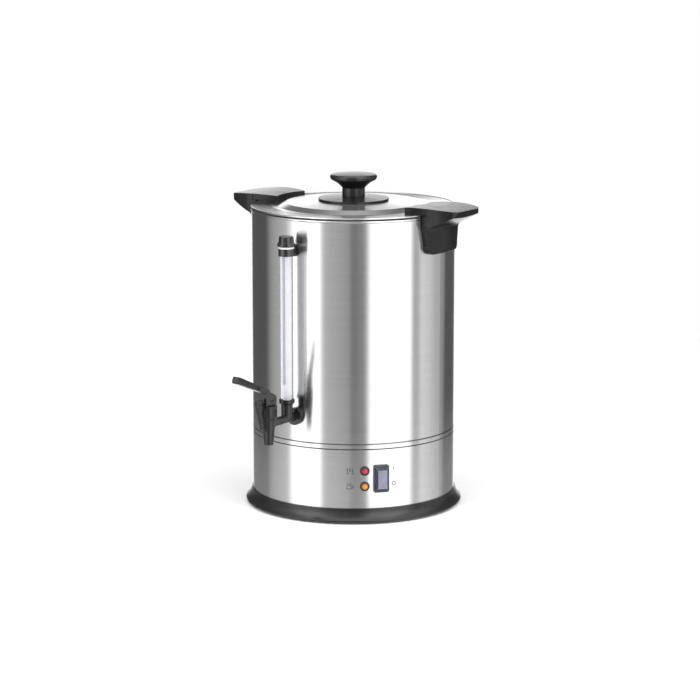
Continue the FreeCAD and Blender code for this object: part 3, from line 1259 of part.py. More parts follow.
def make_bracket():
    u = GAUGE_U
    ring = cyl(BRACKET_R, BRACKET_Z, BRACKET_TOP_Z, u, 0)
    arm = block(TANK_R - BACKING, u, -BRACKET_ARM_HALF, BRACKET_ARM_HALF, BRACKET_Z, BRACKET_TOP_Z)
    middle = BRACKET_Z + BRACKET_H / 2
    pad = rod(BRACKET_PAD_R, TANK_R - BACKING, TANK_R + BRACKET_PAD_T, 0, middle)
    shank = rod(BRACKET_SCREW_R, TANK_BORE - PAST, TANK_R + BRACKET_SCREW_LEN, 0, middle)
    bracket = outside_wall(ring.fuse([arm, pad])).cut(
        [cyl(GAUGE_TUBE_R, BRACKET_Z - PAST, BRACKET_TOP_Z + PAST, u, 0), shank])
    save("gauge_bracket", at_azimuth(bracket.removeSplitter(), 0))
    head = rod(BRACKET_SCREW_HEAD_R, TANK_BORE - BRACKET_SCREW_HEAD_T, TANK_BORE, 0, middle)
    head = inside_wall(head, BRACKET_Z - BLANK, BRACKET_TOP_Z + BLANK)
    save("bracket_screw", at_azimuth(head.fuse(shank).removeSplitter(), 0))
    ring = tube(GAUGE_RING_R, GAUGE_TUBE_R - GAUGE_TUBE_WALL, BRACKET_TOP_Z, CAP_Z, u, 0)
    save("gauge_ring", at_azimuth(ring, 0))


def make_gauge_cap():
    low = CAP_Z + LIFT_GAP
    shoulder = low + CAP_FLANGE_H
    top = shoulder + CAP_H
    cap = turned((0, low), (CAP_FLANGE_R - CAP_FLANGE_EDGE, low), (CAP_FLANGE_R, low + CAP_FLANGE_EDGE),
                 (CAP_FLANGE_R, shoulder - CAP_EDGE), (CAP_R, shoulder), (CAP_TOP_R, top - CAP_EDGE),
                 (CAP_TOP_R - CAP_EDGE, top), (0, top))
    plug = cyl(GAUGE_TUBE_R - GAUGE_TUBE_WALL - PLUG_CLEAR, low - CAP_PLUG_H, low + PAST)
    cap = cap.fuse(plug)
    grooves = []
    for azimuth in around(CAP_RIBS, 180.0 / CAP_RIBS):
        groove = block(CAP_TOP_R - CAP_GROOVE, CAP_R + PAST, -CAP_RIB_W / 2, CAP_RIB_W / 2,
                       shoulder + CAP_EDGE, top - CAP_GROOVE_END)
        groove.rotate(ORIGIN, UP, azimuth)
        grooves.append(groove)
    cap = cap.cut(grooves)
    cap.translate(vec(GAUGE_U, 0, 0))
    save("gauge_cap", at_azimuth(cap, 0))


def make_tap_body():
    u = TAP_U
    barrel = turned((0, SPOUT_Z), (SPOUT_R - SPOUT_EDGE_W, SPOUT_Z), (SPOUT_R, SPOUT_Z + SPOUT_EDGE_H),
                    (SEAT_OUTER_R, SEAT_Z), (BARREL_R, BARREL_TAPER_Z),
                    (COLLAR_NUT_R, COLLAR_NUT_Z), (COLLAR_NUT_R, BARREL_TOP_Z), (0, BARREL_TOP_Z))
    grooves = []
    for azimuth in around(COLLAR_RIBS, 180.0 / COLLAR_RIBS):
        groove = block(COLLAR_NUT_R - COLLAR_RIB_DEPTH, COLLAR_NUT_R + PAST, -COLLAR_RIB_W / 2,
                       COLLAR_RIB_W / 2, COLLAR_NUT_Z + COLLAR_RIB_END, BARREL_TOP_Z - COLLAR_RIB_END)
        groove.rotate(ORIGIN, UP, azimuth)
        grooves.append(groove)
    barrel = barrel.cut(grooves)
    barrel.translate(vec(u, 0, 0))
    stub = rod(SHANK_R, JOINT_U, u, 0, SHANK_Z)
    hub_front = u + HUB_FRONT
    fin = plate([(u + CHAMBER_R, SEAT_Z), (FIN_LOW_U, FIN_LOW_Z), (FIN_TOP_U, FIN_TOP_Z),
                 (hub_front + FIN_BACK, FIN_TOP_Z), (hub_front + FIN_FOOT, BONNET_TOP_Z),
                 (hub_front + FIN_FOOT, BARREL_TOP_Z - FIN_STEP),
                 (u + CHAMBER_R, BARREL_TOP_Z - 2 * FIN_STEP)], FIN_T / 2)
    body = barrel.fuse([stub, fin])
    body = body.cut([cyl(CHAMBER_R, SEAT_Z, BARREL_TOP_Z + PAST, u, 0),
                     cyl(SPOUT_BORE_R, SPOUT_Z - PAST, SEAT_Z + PAST, u, 0),
                     rod(SHANK_BORE_R, JOINT_U - PAST, u, 0, SHANK_Z),
                     rod(SPIGOT_R, JOINT_U - PAST, JOINT_U + SPIGOT_LEN, 0, SHANK_Z)])
    save("tap_body", at_azimuth(body.removeSplitter(), 0))


def make_bonnet():
    u = TAP_U
    plug_low = BARREL_TOP_Z - BONNET_PLUG_H
    bonnet = cyl(CHAMBER_R, plug_low, BARREL_TOP_Z, u, 0)
    bonnet = bonnet.fuse(cyl(BONNET_R, BARREL_TOP_Z, BONNET_TOP_Z, u, 0))
    bonnet = bonnet.cut(cyl(STEM_R + RUNNING, plug_low - PAST, BONNET_TOP_Z + PAST, u, 0))
    save("tap_bonnet", at_azimuth(bonnet.removeSplitter(), 0))


def blade_outline(shrink, start):
    """Lever blade seen from the side, along its own axis, with a rounded nose."""
    half_root = BLADE_DEPTH / 2 - shrink
    half_tip = BLADE_TIP_DEPTH / 2 - shrink
    end = BLADE_LENGTH - shrink
    nose = BLADE_NOSE_R
    bevel = nose * (1 - math.sqrt(0.5))
    low = [vec(start, 0, -half_root), vec(end - nose, 0, -half_tip)]
    high = [vec(end - nose, 0, half_tip), vec(start, 0, half_root)]
    low_end = vec(end, 0, -half_tip + nose)
    high_end = vec(end, 0, half_tip - nose)
    edges = [Part.LineSegment(low[0], low[1]).toShape(),
             Part.Arc(low[1], vec(end - bevel, 0, -half_tip + bevel), low_end).toShape(),
             Part.LineSegment(low_end, high_end).toShape(),
             Part.Arc(high_end, vec(end - bevel, 0, half_tip - bevel), high[0]).toShape(),
             Part.LineSegment(high[0], high[1]).toShape(),
             Part.LineSegment(high[1], low[0]).toShape()]
    return Part.Face(Part.Wire(edges))


def lever_blade():
    blade = blade_outline(0, 0.0).extrude(vec(0, 2 * BLADE_HALF, 0))
    blade.translate(vec(0, -BLADE_HALF, 0))
    pocket = blade_outline(BLADE_RIM, BLADE_POCKET_START).extrude(vec(0, BLADE_RECESS + PAST, 0))
    for v in (-BLADE_HALF - PAST, BLADE_HALF - BLADE_RECESS):
        tool = pocket.copy()
        tool.translate(vec(0, v, 0))
        blade = blade.cut(tool)
    blade.translate(vec(0, 0, BLADE_OFFSET))
    blade.rotate(ORIGIN, SIDE, -BLADE_TILT)
    blade.translate(vec(BLADE_ROOT_U, 0, BLADE_ROOT_Z))
    return blade


def lever_hub():
    """Narrow hub that rests on the bonnet, with its front edge rounded as the fulcrum."""
    back = TAP_U - HUB_BACK
    front = TAP_U + HUB_FRONT
    bevel = FULCRUM_R * math.sqrt(0.5)
    low = vec(FULCRUM_U, -HUB_HALF, HUB_BOTTOM_Z)
    corner = vec(FULCRUM_U + bevel, -HUB_HALF, FULCRUM_Z - bevel)
    high = vec(front, -HUB_HALF, FULCRUM_Z)
    rest = [(front, HUB_NOSE_Z), (HUB_TOP_U, HUB_TOP_Z), (HUB_CREST_U, HUB_CREST_Z),
            (HUB_SHOULDER_U, HUB_SHOULDER_Z), (back, HUB_BACK_Z), (back, HUB_BOTTOM_Z)]
    corners = [high] + [vec(u, -HUB_HALF, z) for u, z in rest] + [low]
    edges = [Part.Arc(low, corner, high).toShape()] + Part.makePolygon(corners).Edges
    return Part.Face(Part.Wire(edges)).extrude(vec(0, 2 * HUB_HALF, 0))


def make_lever():
    slot_half = STEM_HEAD_R + LEVER_GAP
    stem_slot = block(TAP_U - HUB_SLOT_BACK, TAP_U + HUB_SLOT_FRONT, -slot_half, slot_half,
                      HUB_BOTTOM_Z - PAST, HUB_SLOT_TOP_Z)
    pin_slot_r = CROSS_PIN_R + PIN_SLOT_CLEAR
    pin_slot = block(TAP_U - PIN_SLOT_TRAVEL, TAP_U, -HUB_HALF - PAST, HUB_HALF + PAST,
                     CROSS_PIN_Z - pin_slot_r, CROSS_PIN_Z + pin_slot_r)
    tools = [stem_slot, pin_slot]
    for u in (TAP_U - PIN_SLOT_TRAVEL, TAP_U):
        tools.append(crossbar(pin_slot_r, HUB_HALF + PAST, u, CROSS_PIN_Z))
    lever = lever_hub().fuse(lever_blade()).cut(tools)
    save("tap_lever", at_azimuth(lever.removeSplitter(), 0))


def make_stem():
    u = TAP_U
    head_low = CROSS_PIN_Z - STEM_HEAD_H / 2
    pin = crossbar(CROSS_PIN_R, HUB_HALF, u, CROSS_PIN_Z)
    stem = cyl(STEM_R, STEM_LOW_Z, head_low + PAST, u, 0)
    stem = stem.fuse(cyl(STEM_HEAD_R, head_low, head_low + STEM_HEAD_H, u, 0)).cut(pin)
    save("tap_stem", at_azimuth(stem, 0))
    save("cross_pin", at_azimuth(pin, 0))
    low = SEAT_Z + CUP_GAP
    top = low + CUP_H
    cup = turned((0, low), (CUP_R - CUP_NOSE_W, low), (CUP_R, low + CUP_NOSE_H), (CUP_R, top - CUP_TOP_H),
                 (CUP_R - CUP_TOP_W, top), (STEM_R, top), (STEM_R, STEM_LOW_Z), (0, STEM_LOW_Z))
    cup.translate(vec(u, 0, 0))
    save("tap_seat_cup", at_azimuth(cup, 0))
    spring_low = top + SPRING_WIRE / 2 + SPRING_GAP
    spring_high = BARREL_TOP_Z - BONNET_PLUG_H - SPRING_WIRE / 2 - SPRING_GAP
    height = spring_high - spring_low
    helix = Part.makeHelix(height / SPRING_TURNS, height, SPRING_R)
    profile = Part.Wire(Part.makeCircle(SPRING_WIRE / 2, vec(SPRING_R, 0, 0), SIDE))
    spring = Part.Wire(helix).makePipeShell([profile], True, True)
    spring.translate(vec(u, 0, spring_low))
    save("tap_spring", at_azimuth(spring, 0))


def make_percolator():
    bore = PUMP_R - PUMP_WALL
    foot_bore = PUMP_FOOT_R - SHEET
    collar_low = COLLAR_TOP_Z - COLLAR_T
    neck_low = PUMP_CONE_Z + PUMP_NECK_STEP
    neck_top = neck_low + PUMP_NECK_H
    save("pump_tube", turned(
        (bore, PUMP_CONE_Z), (PUMP_R, PUMP_CONE_Z), (PUMP_R, collar_low), (COLLAR_R, collar_low),
        (COLLAR_R, COLLAR_TOP_Z), (PUMP_R, COLLAR_TOP_Z), (PUMP_R, PUMP_TOP_Z), (bore, PUMP_TOP_Z)))
    foot = turned(
        (foot_bore, PUMP_FOOT_Z), (PUMP_FOOT_R, PUMP_FOOT_Z), (PUMP_FOOT_R, PUMP_FOOT_TOP_Z),
        (PUMP_R + SHEET, neck_low), (PUMP_R + SHEET, neck_top), (PUMP_R, neck_top),
        (PUMP_R, PUMP_CONE_Z), (bore, PUMP_CONE_Z), (foot_bore, PUMP_FOOT_TOP_Z - SHEET))
    seat_top = PUMP_FOOT_Z + PUMP_WEB_Z
    web = tube(foot_bore + SHEET / 2, PUMP_WASHER_R - PUMP_WEB_W, seat_top - SHEET, seat_top)
    inlet_holes = []
    for azimuth in around(PUMP_HOLES):
        x, y = polar(foot_bore, azimuth)
        inlet_holes.append(cyl(PUMP_HOLE_R, PUMP_FOOT_Z - PAST, PUMP_FOOT_Z + PUMP_HOLE_H, x, y))
    save("pump_foot", foot.fuse(web).cut(inlet_holes).removeSplitter())
    washer_low = seat_top + LIFT_GAP
    save("pump_washer", tube(PUMP_WASHER_R, SLEEVE_R, washer_low, washer_low + PUMP_WASHER_T))


def hole_rings(low, high, inner, outer):
    """Tools for rings of small round holes between two radii."""
    tools = []
    step = (outer - inner) / (HOLE_RINGS - 1)
    for ring in range(HOLE_RINGS):
        radius = inner + ring * step
        count = HOLES_FIRST + HOLES_MORE * ring
        for azimuth in around(count, HOLES_TURN * ring):
            x, y = polar(radius, azimuth)
            tools.append(cyl(HOLE_R, low, high, x, y))
    return tools


def make_basket():
    wall = BASKET_R - BASKET_SHEET
    basket = turned(
        (SLEEVE_BORE, BASKET_Z), (BASKET_R, BASKET_Z), (BASKET_R, BASKET_TOP_Z),
        (wall, BASKET_TOP_Z), (wall, BASKET_Z + BASKET_SHEET), (SLEEVE_R, BASKET_Z + BASKET_SHEET),
        (SLEEVE_R, BASKET_Z + SLEEVE_H), (SLEEVE_BORE, BASKET_Z + SLEEVE_H))
    inner = COLLAR_R + HOLES_MARGIN
    holes = hole_rings(BASKET_Z - PAST, BASKET_Z + BASKET_SHEET + PAST, inner, wall - HOLES_MARGIN)
    save("filter_basket", basket.cut(holes))
    rim_r = wall - SEAL_GAP
    cover = turned(
        (SLEEVE_BORE, COVER_Z), (BASKET_R, COVER_Z), (BASKET_R, COVER_Z + BASKET_SHEET),
        (SLEEVE_R, COVER_Z + BASKET_SHEET), (SLEEVE_R, COVER_Z + COVER_SLEEVE_H),
        (SLEEVE_BORE, COVER_Z + COVER_SLEEVE_H))
    rim = tube(rim_r, rim_r - BASKET_SHEET, COVER_Z - COVER_RIM, COVER_Z + BASKET_SHEET / 2)
    holes = hole_rings(COVER_Z - PAST, COVER_Z + BASKET_SHEET + PAST, inner, rim_r - HOLES_MARGIN)
    save("basket_cover", cover.fuse(rim).cut(holes).removeSplitter())


def main():
    os.makedirs("parts", exist_ok=True)
    make_tank()
    make_skirt()
    make_foot_ring()
    make_bottom()
    make_heater()
    make_terminal_block()
    make_lead_wires()
    make_lamps()
    make_switch()
    make_inlet()
    make_handles()
    make_lid()
    make_lugs()
    make_knob()
    make_gauge()
    make_bracket()
    make_gauge_cap()
    make_tap_body()
    make_bonnet()
    make_lever()
    make_stem()
    make_percolator()
    make_basket()


main()
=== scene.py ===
"""Coffee urn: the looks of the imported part, its small trim, the camera and the studio.

Lengths are in metres unless a comment says otherwise. A turn is an angle in degrees round the
tank's upright axis, counted from its front, counterclockwise seen from above.
"""
import math

import bmesh
import bpy
from mathutils import Matrix, Vector


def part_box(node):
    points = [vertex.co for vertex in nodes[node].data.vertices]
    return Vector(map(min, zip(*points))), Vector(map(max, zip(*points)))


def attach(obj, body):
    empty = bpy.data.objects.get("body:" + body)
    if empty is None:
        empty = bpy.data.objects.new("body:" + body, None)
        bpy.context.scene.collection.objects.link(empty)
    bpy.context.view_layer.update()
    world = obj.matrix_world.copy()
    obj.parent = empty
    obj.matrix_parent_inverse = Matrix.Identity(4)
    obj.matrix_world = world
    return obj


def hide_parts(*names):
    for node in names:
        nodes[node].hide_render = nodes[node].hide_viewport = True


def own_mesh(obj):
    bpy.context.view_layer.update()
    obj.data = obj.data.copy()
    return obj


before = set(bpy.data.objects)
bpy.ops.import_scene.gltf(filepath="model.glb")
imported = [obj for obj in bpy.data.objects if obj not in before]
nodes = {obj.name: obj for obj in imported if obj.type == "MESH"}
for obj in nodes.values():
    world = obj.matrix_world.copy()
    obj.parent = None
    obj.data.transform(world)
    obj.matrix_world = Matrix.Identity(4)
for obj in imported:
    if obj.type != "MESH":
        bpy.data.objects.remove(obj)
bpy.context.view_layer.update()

# the tank's upright axis stands at x = 0 and this y
tank_low, tank_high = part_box("tank_shell")
AXIS_Y = (tank_low.y + tank_high.y) / 2

# ---------------------------------------------------------------- the camera
VIEW_DEGREES = 33.7  # how far round from the urn's front the camera stands
VIEW_TURN = math.radians(VIEW_DEGREES)
CAMERA_PLACE = (-0.00355, -3.342, 0.8383)  # before it is turned round the tank's axis
CAMERA_DIP = 0.1902  # below level, in radians
PICTURE = 700  # pixels across
FOCAL_PIXELS = 2648
SHIFT_PIXELS = (-0.8, 0.5)
SENSOR = 36.0  # mm
NEAREST, FARTHEST = 0.05, 100.0

camera_data = bpy.data.cameras.new("camera")
camera_data.sensor_width = SENSOR
camera_data.lens = SENSOR * (FOCAL_PIXELS / PICTURE)
camera_data.shift_x = SHIFT_PIXELS[0] / PICTURE
camera_data.shift_y = SHIFT_PIXELS[1] / PICTURE
camera_data.clip_start = NEAREST
camera_data.clip_end = FARTHEST
camera = bpy.data.objects.new("camera", camera_data)
bpy.context.scene.collection.objects.link(camera)
camera.matrix_world = (
    Matrix.Translation((0, AXIS_Y, 0))
    @ Matrix.Rotation(VIEW_TURN, 4, "Z")
    @ Matrix.Translation(CAMERA_PLACE)
    @ Matrix.Rotation(math.pi / 2 - CAMERA_DIP, 4, "X")
)
bpy.context.scene.camera = camera
bpy.context.scene.view_settings.view_transform = "Standard"


# --------------------------------------------------------------- node graphs
class Graph:
    """A short way to write node trees: each call adds one node and wires it."""

    def __init__(self, tree):
        self.tree = tree
        tree.nodes.clear()

    def add(self, kind, sockets=(), **settings):
        node = self.tree.nodes.new("ShaderNode" + kind)
        for key, value in settings.items():
            setattr(node, key, value)
        self.fill(node, dict(sockets))
        return node

    def fill(self, node, sockets):
        for key, value in sockets.items():
            self.put(node.inputs[key], value)

    def put(self, socket, value):
        if isinstance(value, bpy.types.Node):
            value = value.outputs[0]
        if isinstance(value, bpy.types.NodeSocket):
            self.tree.links.new(value, socket)
        else:
            socket.default_value = value

    def math(self, operation, a, b=None):
        node = self.add("Math", {0: a}, operation=operation)
        if b is not None:
            self.put(node.inputs[1], b)
        return node.outputs[0]

    def vector_math(self, operation, output, a, b=None):
        node = self.add("VectorMath", {0: a}, operation=operation)
        if b is not None:
            self.put(node.inputs[1], b)
        return node.outputs[output]

    def length(self, vector):
        return self.vector_math("LENGTH", "Value", vector)

    def dot(self, a, b):
        return self.vector_math("DOT_PRODUCT", "Value", a, b)

    def minus(self, a, b):
        return self.vector_math("SUBTRACT", "Vector", a, b)

    def split(self, vector):
        """The three coordinates of a vector."""
        return self.add("SeparateXYZ", {"Vector": vector}).outputs

    def join(self, x, y, z=0.0):
        return self.add("CombineXYZ", {"X": x, "Y": y, "Z": z}).outputs[0]

    def spread(self, value, span, to, smooth=False):
        """A value between the ends of a span, brought between the ends of another."""
        node = self.add("MapRange", {
            "Value": value, "From Min": span[0], "From Max": span[1],
            "To Min": to[0], "To Max": to[1],
        }, interpolation_type="SMOOTHSTEP" if smooth else "LINEAR")
        return node.outputs["Result"]

    def noise(self, vector, scale, detail=2.0, roughness=0.5):
        return self.add("TexNoise", {"Vector": vector, "Scale": scale, "Detail": detail,
                                     "Roughness": roughness}).outputs["Fac"]

    def mix(self, factor, a, b):
        """Between two colours."""
        return self.add("Mix", {0: factor, 6: a, 7: b}, data_type="RGBA").outputs[2]

    def blend(self, factor, a, b):
        """Between two numbers."""
        return self.add("Mix", {0: factor, 2: a, 3: b}, data_type="FLOAT").outputs[0]

    def bump(self, height, depth, strength=1.0, normal=None):
        node = self.add("Bump", {"Height": height, "Distance": depth, "Strength": strength})
        if normal is not None:
            self.put(node.inputs["Normal"], normal)
        return node.outputs["Normal"]


UNIT = (0.0, 1.0)
MOST = (0.3, 0.7)  # the band that holds most of a noise's values
MIDDLE = (0.35, 0.65)  # a narrower band, for more contrast


def rgba(colour):
    return (*colour, 1.0)


def scaled(colour, share):
    return rgba(tuple(min(1.0, c * share) for c in colour))


def outward(turn):
    """Level direction out of the tank at a turn."""
    return math.sin(math.radians(turn)), -math.cos(math.radians(turn)), 0.0


# ---------------------------------------------------------------- materials
def new_material(name):
    """An empty material, its graph and shader, and the place measured from the tank's axis."""
    material = bpy.data.materials.new(name)
    material.use_nodes = True
    graph = Graph(material.node_tree)
    shader = graph.add("BsdfPrincipled")
    graph.add("OutputMaterial", {"Surface": shader})
    object_place = graph.add("TexCoord").outputs["Object"]
    return material, graph, shader, graph.minus(object_place, (0, AXIS_Y, 0))


# painted shade in the pressed line round the wall: its reach, its strength and its colour
GROOVE_SHADE_BAND = (0.0006, 0.0011)  # from the groove's middle, where its painted shade ends
GROOVE_SHADE_SHARE = 0.78
GROOVE_SHADE_COLOUR = (0.05, 0.05, 0.05)


def brushed_metal(name, colour, roughness, anisotropy, line_pitch, mark=0.05, groove=None,
                  dish=None):
    """Sheet metal brushed round the upright axis: level lines on walls, circles on flats.

    mark is how much the lines vary the colour and groove is the height of a pressed line,
    darkened there as painted shade. dish is a faint slope of the flat sheet: where it starts,
    where it ends, and its rise.
    """
    material, g, shader, place = new_material(name)
    x, y, z = g.split(place)
    reach = g.length(g.join(x, y))
    across = g.math("ADD", z, reach)

    def lines_of(stretch, pitch, detail, rough):
        at = g.join(g.math("MULTIPLY", x, stretch), g.math("MULTIPLY", y, stretch),
                    g.math("DIVIDE", across, pitch))
        return g.noise(at, 1.0, detail, rough)

    lines = lines_of(9.0, line_pitch, 3.0, 0.65)
    broad = lines_of(4.0, line_pitch * 9, 2.0, 0.5)
    smudge = g.noise(place, 14.0, 3.0, 0.55)
    tone = g.math("ADD", g.spread(lines, MOST, (-0.8, 0.8)), g.spread(broad, MIDDLE, (-0.2, 0.2)))
    shade = g.spread(tone, (-1.0, 1.0), UNIT)
    brushed = g.mix(shade, scaled(colour, 1 - mark), scaled(colour, 1 + mark))
    # painted shade: the colour is darkened along the pressed line's height
    if groove is not None:
        away = g.math("ABSOLUTE", g.math("SUBTRACT", z, groove))
        dark = g.spread(away, GROOVE_SHADE_BAND, (GROOVE_SHADE_SHARE, 0.0), smooth=True)
        brushed = g.mix(dark, brushed, rgba(GROOVE_SHADE_COLOUR))
    rough = g.math("ADD", g.spread(lines, MOST, (roughness - 0.01, roughness + 0.01)),
                   g.spread(smudge, (0.35, 0.7), (-0.006, 0.012)))
    dished = None
    if dish is not None:
        inner, outer, slope = dish
        run = g.math("MINIMUM", g.math("MAXIMUM", g.math("SUBTRACT", reach, inner), 0.0),
                     outer - inner)
        dished = g.bump(g.math("MULTIPLY", run, slope), 1.0)
    g.fill(shader, {
        "Base Color": brushed,
        "Metallic": 1.0,
        "Roughness": rough,
        "Anisotropic": anisotropy,
        "Anisotropic Rotation": 0.25,
        "Tangent": g.add("Tangent", direction_type="RADIAL", axis="Z"),
        "Normal": g.bump(lines, 0.000004, 0.6, dished),
    })
    return material


def plain_metal(name, colour, roughness, grain=1800.0, stain=None):
    """Small turned, pressed or cast metal parts: fine grain and, where given, some staining."""
    material, g, shader, place = new_material(name)
    fine = g.noise(place, grain, 3.0, 0.6)
    cloud = g.noise(place, 90.0, 3.0, 0.6)
    base = g.mix(g.spread(fine, MOST, UNIT), scaled(colour, 0.9), scaled(colour, 1.06))
    if stain is not None:
        base = g.mix(g.spread(cloud, (0.48, 0.75), (0.0, 0.7)), base, rgba(stain))
    g.fill(shader, {
        "Base Color": base,
        "Metallic": 1.0,
        "Roughness": g.spread(cloud, MOST, (roughness - 0.06, roughness + 0.08)),
        "Normal": g.bump(fine, 0.00001, 0.5),
    })
    return material


def soft_edges(g, radius):
    """The normal rounded off at edges, and how well it agrees with the true one: 1 on flats."""
    soft = g.add("Bevel", {"Radius": radius}, samples=6).outputs["Normal"]
    sharp = g.add("NewGeometry").outputs["Normal"]
    return soft, g.dot(soft, sharp)


def moulded(name, colour, roughness, edge_colour, wear=0.6, specular=0.5):
    """Moulded plastic: a fine skin grain, slight flow marks, edges rubbed a little paler."""
    material, g, shader, place = new_material(name)
    skin = g.noise(place, 2600.0, 2.0, 0.5)
    flow = g.noise(place, 45.0, 3.0, 0.55)
    soft, bend = soft_edges(g, 0.0006)
    edge = g.spread(bend, (0.995, 0.85), UNIT, smooth=True)
    scuffs = g.spread(g.noise(place, 260.0, 3.0, 0.6), MIDDLE, (0.2, 1.0))
    rubbed = g.math("MULTIPLY", g.math("MULTIPLY", edge, scuffs), wear)
    base = g.mix(g.spread(flow, MOST, UNIT), scaled(colour, 0.88), scaled(colour, 1.14))
    rough = g.math("ADD", g.spread(flow, MOST, (roughness - 0.03, roughness + 0.04)),
                   g.math("MULTIPLY", rubbed, 0.12))
    g.fill(shader, {
        "Base Color": g.mix(rubbed, base, rgba(edge_colour)),
        "Roughness": rough,
        "Specular IOR Level": specular,
        "Normal": g.bump(skin, 0.000012, 0.6, soft),
    })
    return material


def clear(name, colour, roughness, ripple):
    """Clear drawn plastic, with the faint lengthwise ripple that such walls have."""
    material, g, shader, place = new_material(name)
    x, y, z = g.split(place)
    along_wall = g.join(g.math("MULTIPLY", x, 900.0), g.math("MULTIPLY", y, 900.0),
                        g.math("MULTIPLY", z, 40.0))
    draw = g.noise(along_wall, 0.4, 2.0, 0.5)
    g.fill(shader, {
        "Base Color": g.mix(draw, scaled(colour, 0.97), scaled(colour, 1.03)),
        "Roughness": g.spread(draw, MOST, (max(0.0, roughness - 0.01), roughness + 0.02)),
        "IOR": 1.49,
        "Transmission Weight": 1.0,
        "Normal": g.bump(draw, ripple, 0.4),
    })
    return material


LAMP_TURN, SWITCH_TURN = 39.8, 49.0
LENS_FACE = 0.1334  # from the tank's axis to the middle of a lens's face
LENS_SPAN = (0.0018, 0.0044)  # from the face's middle, where the painted shade at the rim sets in


def lens(name, node, colour, rim_shade_colour, glow):
    """Lamp lens: deeper in colour towards its rim as painted shade, faceted inside, faintly lit
    by its lamp.
    """
    material, g, shader, place = new_material(name)
    facets = g.add("TexVoronoi", {"Vector": place, "Scale": 900.0},
                   feature="SMOOTH_F1").outputs["Distance"]
    low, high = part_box(node)
    middle = Vector(outward(LAMP_TURN)) * LENS_FACE + Vector((0, 0, (low.z + high.z) / 2))
    rim = g.spread(g.length(g.minus(place, middle)), LENS_SPAN, UNIT, smooth=True)
    patch = g.spread(g.noise(place, 700.0, 2.0, 0.5), MIDDLE, (0.8, 1.15))
    core = g.add("VectorMath", {0: colour, "Scale": patch}, operation="SCALE")
    g.fill(shader, {
        # painted shade: the colour deepens towards the lens's rim
        "Base Color": g.mix(rim, core, rgba(rim_shade_colour)),
        "Roughness": g.spread(facets, (0.1, 0.7), (0.14, 0.24)),
        "Specular IOR Level": 0.6,
        "Subsurface Weight": 0.25,
        "Subsurface Radius": (1.0, 0.3, 0.2),
        "Subsurface Scale": 0.002,
        "Emission Color": rgba(colour),
        "Emission Strength": glow,
        "Normal": g.bump(facets, 0.00006, 0.35),
    })
    return material


def opal_with_painted_glow(name, colour, glow):
    """Opal lining of the gauge: faintly clouded, with a painted glow in place of the light that
    would reach it through the tube.
    """
    material, g, shader, place = new_material(name)
    cloud = g.noise(place, 60.0, 3.0, 0.5)
    g.fill(shader, {
        "Base Color": g.mix(cloud, scaled(colour, 0.96), scaled(colour, 1.02)),
        "Roughness": g.spread(cloud, MOST, (0.3, 0.4)),
        # painted light: the lining glows so that it looks lit behind the clear tube
        "Emission Color": rgba(colour),
        "Emission Strength": glow,
    })
    return material


def soft_rubber(name, colour, roughness):
    """Rubber, wire cover or print: matt, faintly mottled, a little dusty."""
    material, g, shader, place = new_material(name)
    dust = g.noise(place, 120.0, 4.0, 0.65)
    grain = g.noise(place, 1400.0, 2.0, 0.5)
    dusty = g.spread(dust, (0.4, 0.75), (0.0, 0.35))
    g.fill(shader, {
        "Base Color": g.mix(dusty, rgba(colour), rgba((0.2, 0.2, 0.2))),
        "Roughness": g.spread(grain, MOST, (roughness - 0.08, roughness + 0.08)),
        "Specular IOR Level": 0.35,
        "Normal": g.bump(grain, 0.00003, 0.7),
    })
    return material


def switch_cover(name, pane, side, edge):
    """Smoky moulded cover of the switch: a tinted pane in front, dark flanks, and pale edges that
    are a painted highlight.
    """
    material, g, shader, place = new_material(name)
    facing = g.dot(g.add("TexCoord").outputs["Normal"], outward(SWITCH_TURN))
    soft, bend = soft_edges(g, 0.0007)
    edge_highlight = g.spread(bend, (0.995, 0.9), (0.0, 0.8), smooth=True)
    cloud = g.noise(place, 320.0, 3.0, 0.55)
    tint = g.mix(g.spread(cloud, MOST, UNIT), scaled(pane, 0.85), scaled(pane, 1.15))
    base = g.mix(g.spread(facing, (0.75, 0.95), UNIT), rgba(side), tint)
    g.fill(shader, {
        # painted highlight: the edges of the cover are made paler
        "Base Color": g.mix(edge_highlight, base, rgba(edge)),
        "Roughness": g.spread(cloud, MOST, (0.16, 0.24)),
        "IOR": 1.45,
        "Transmission Weight": 0.3,
        "Normal": g.bump(cloud, 0.00001, 0.4, soft),
    })
    return material


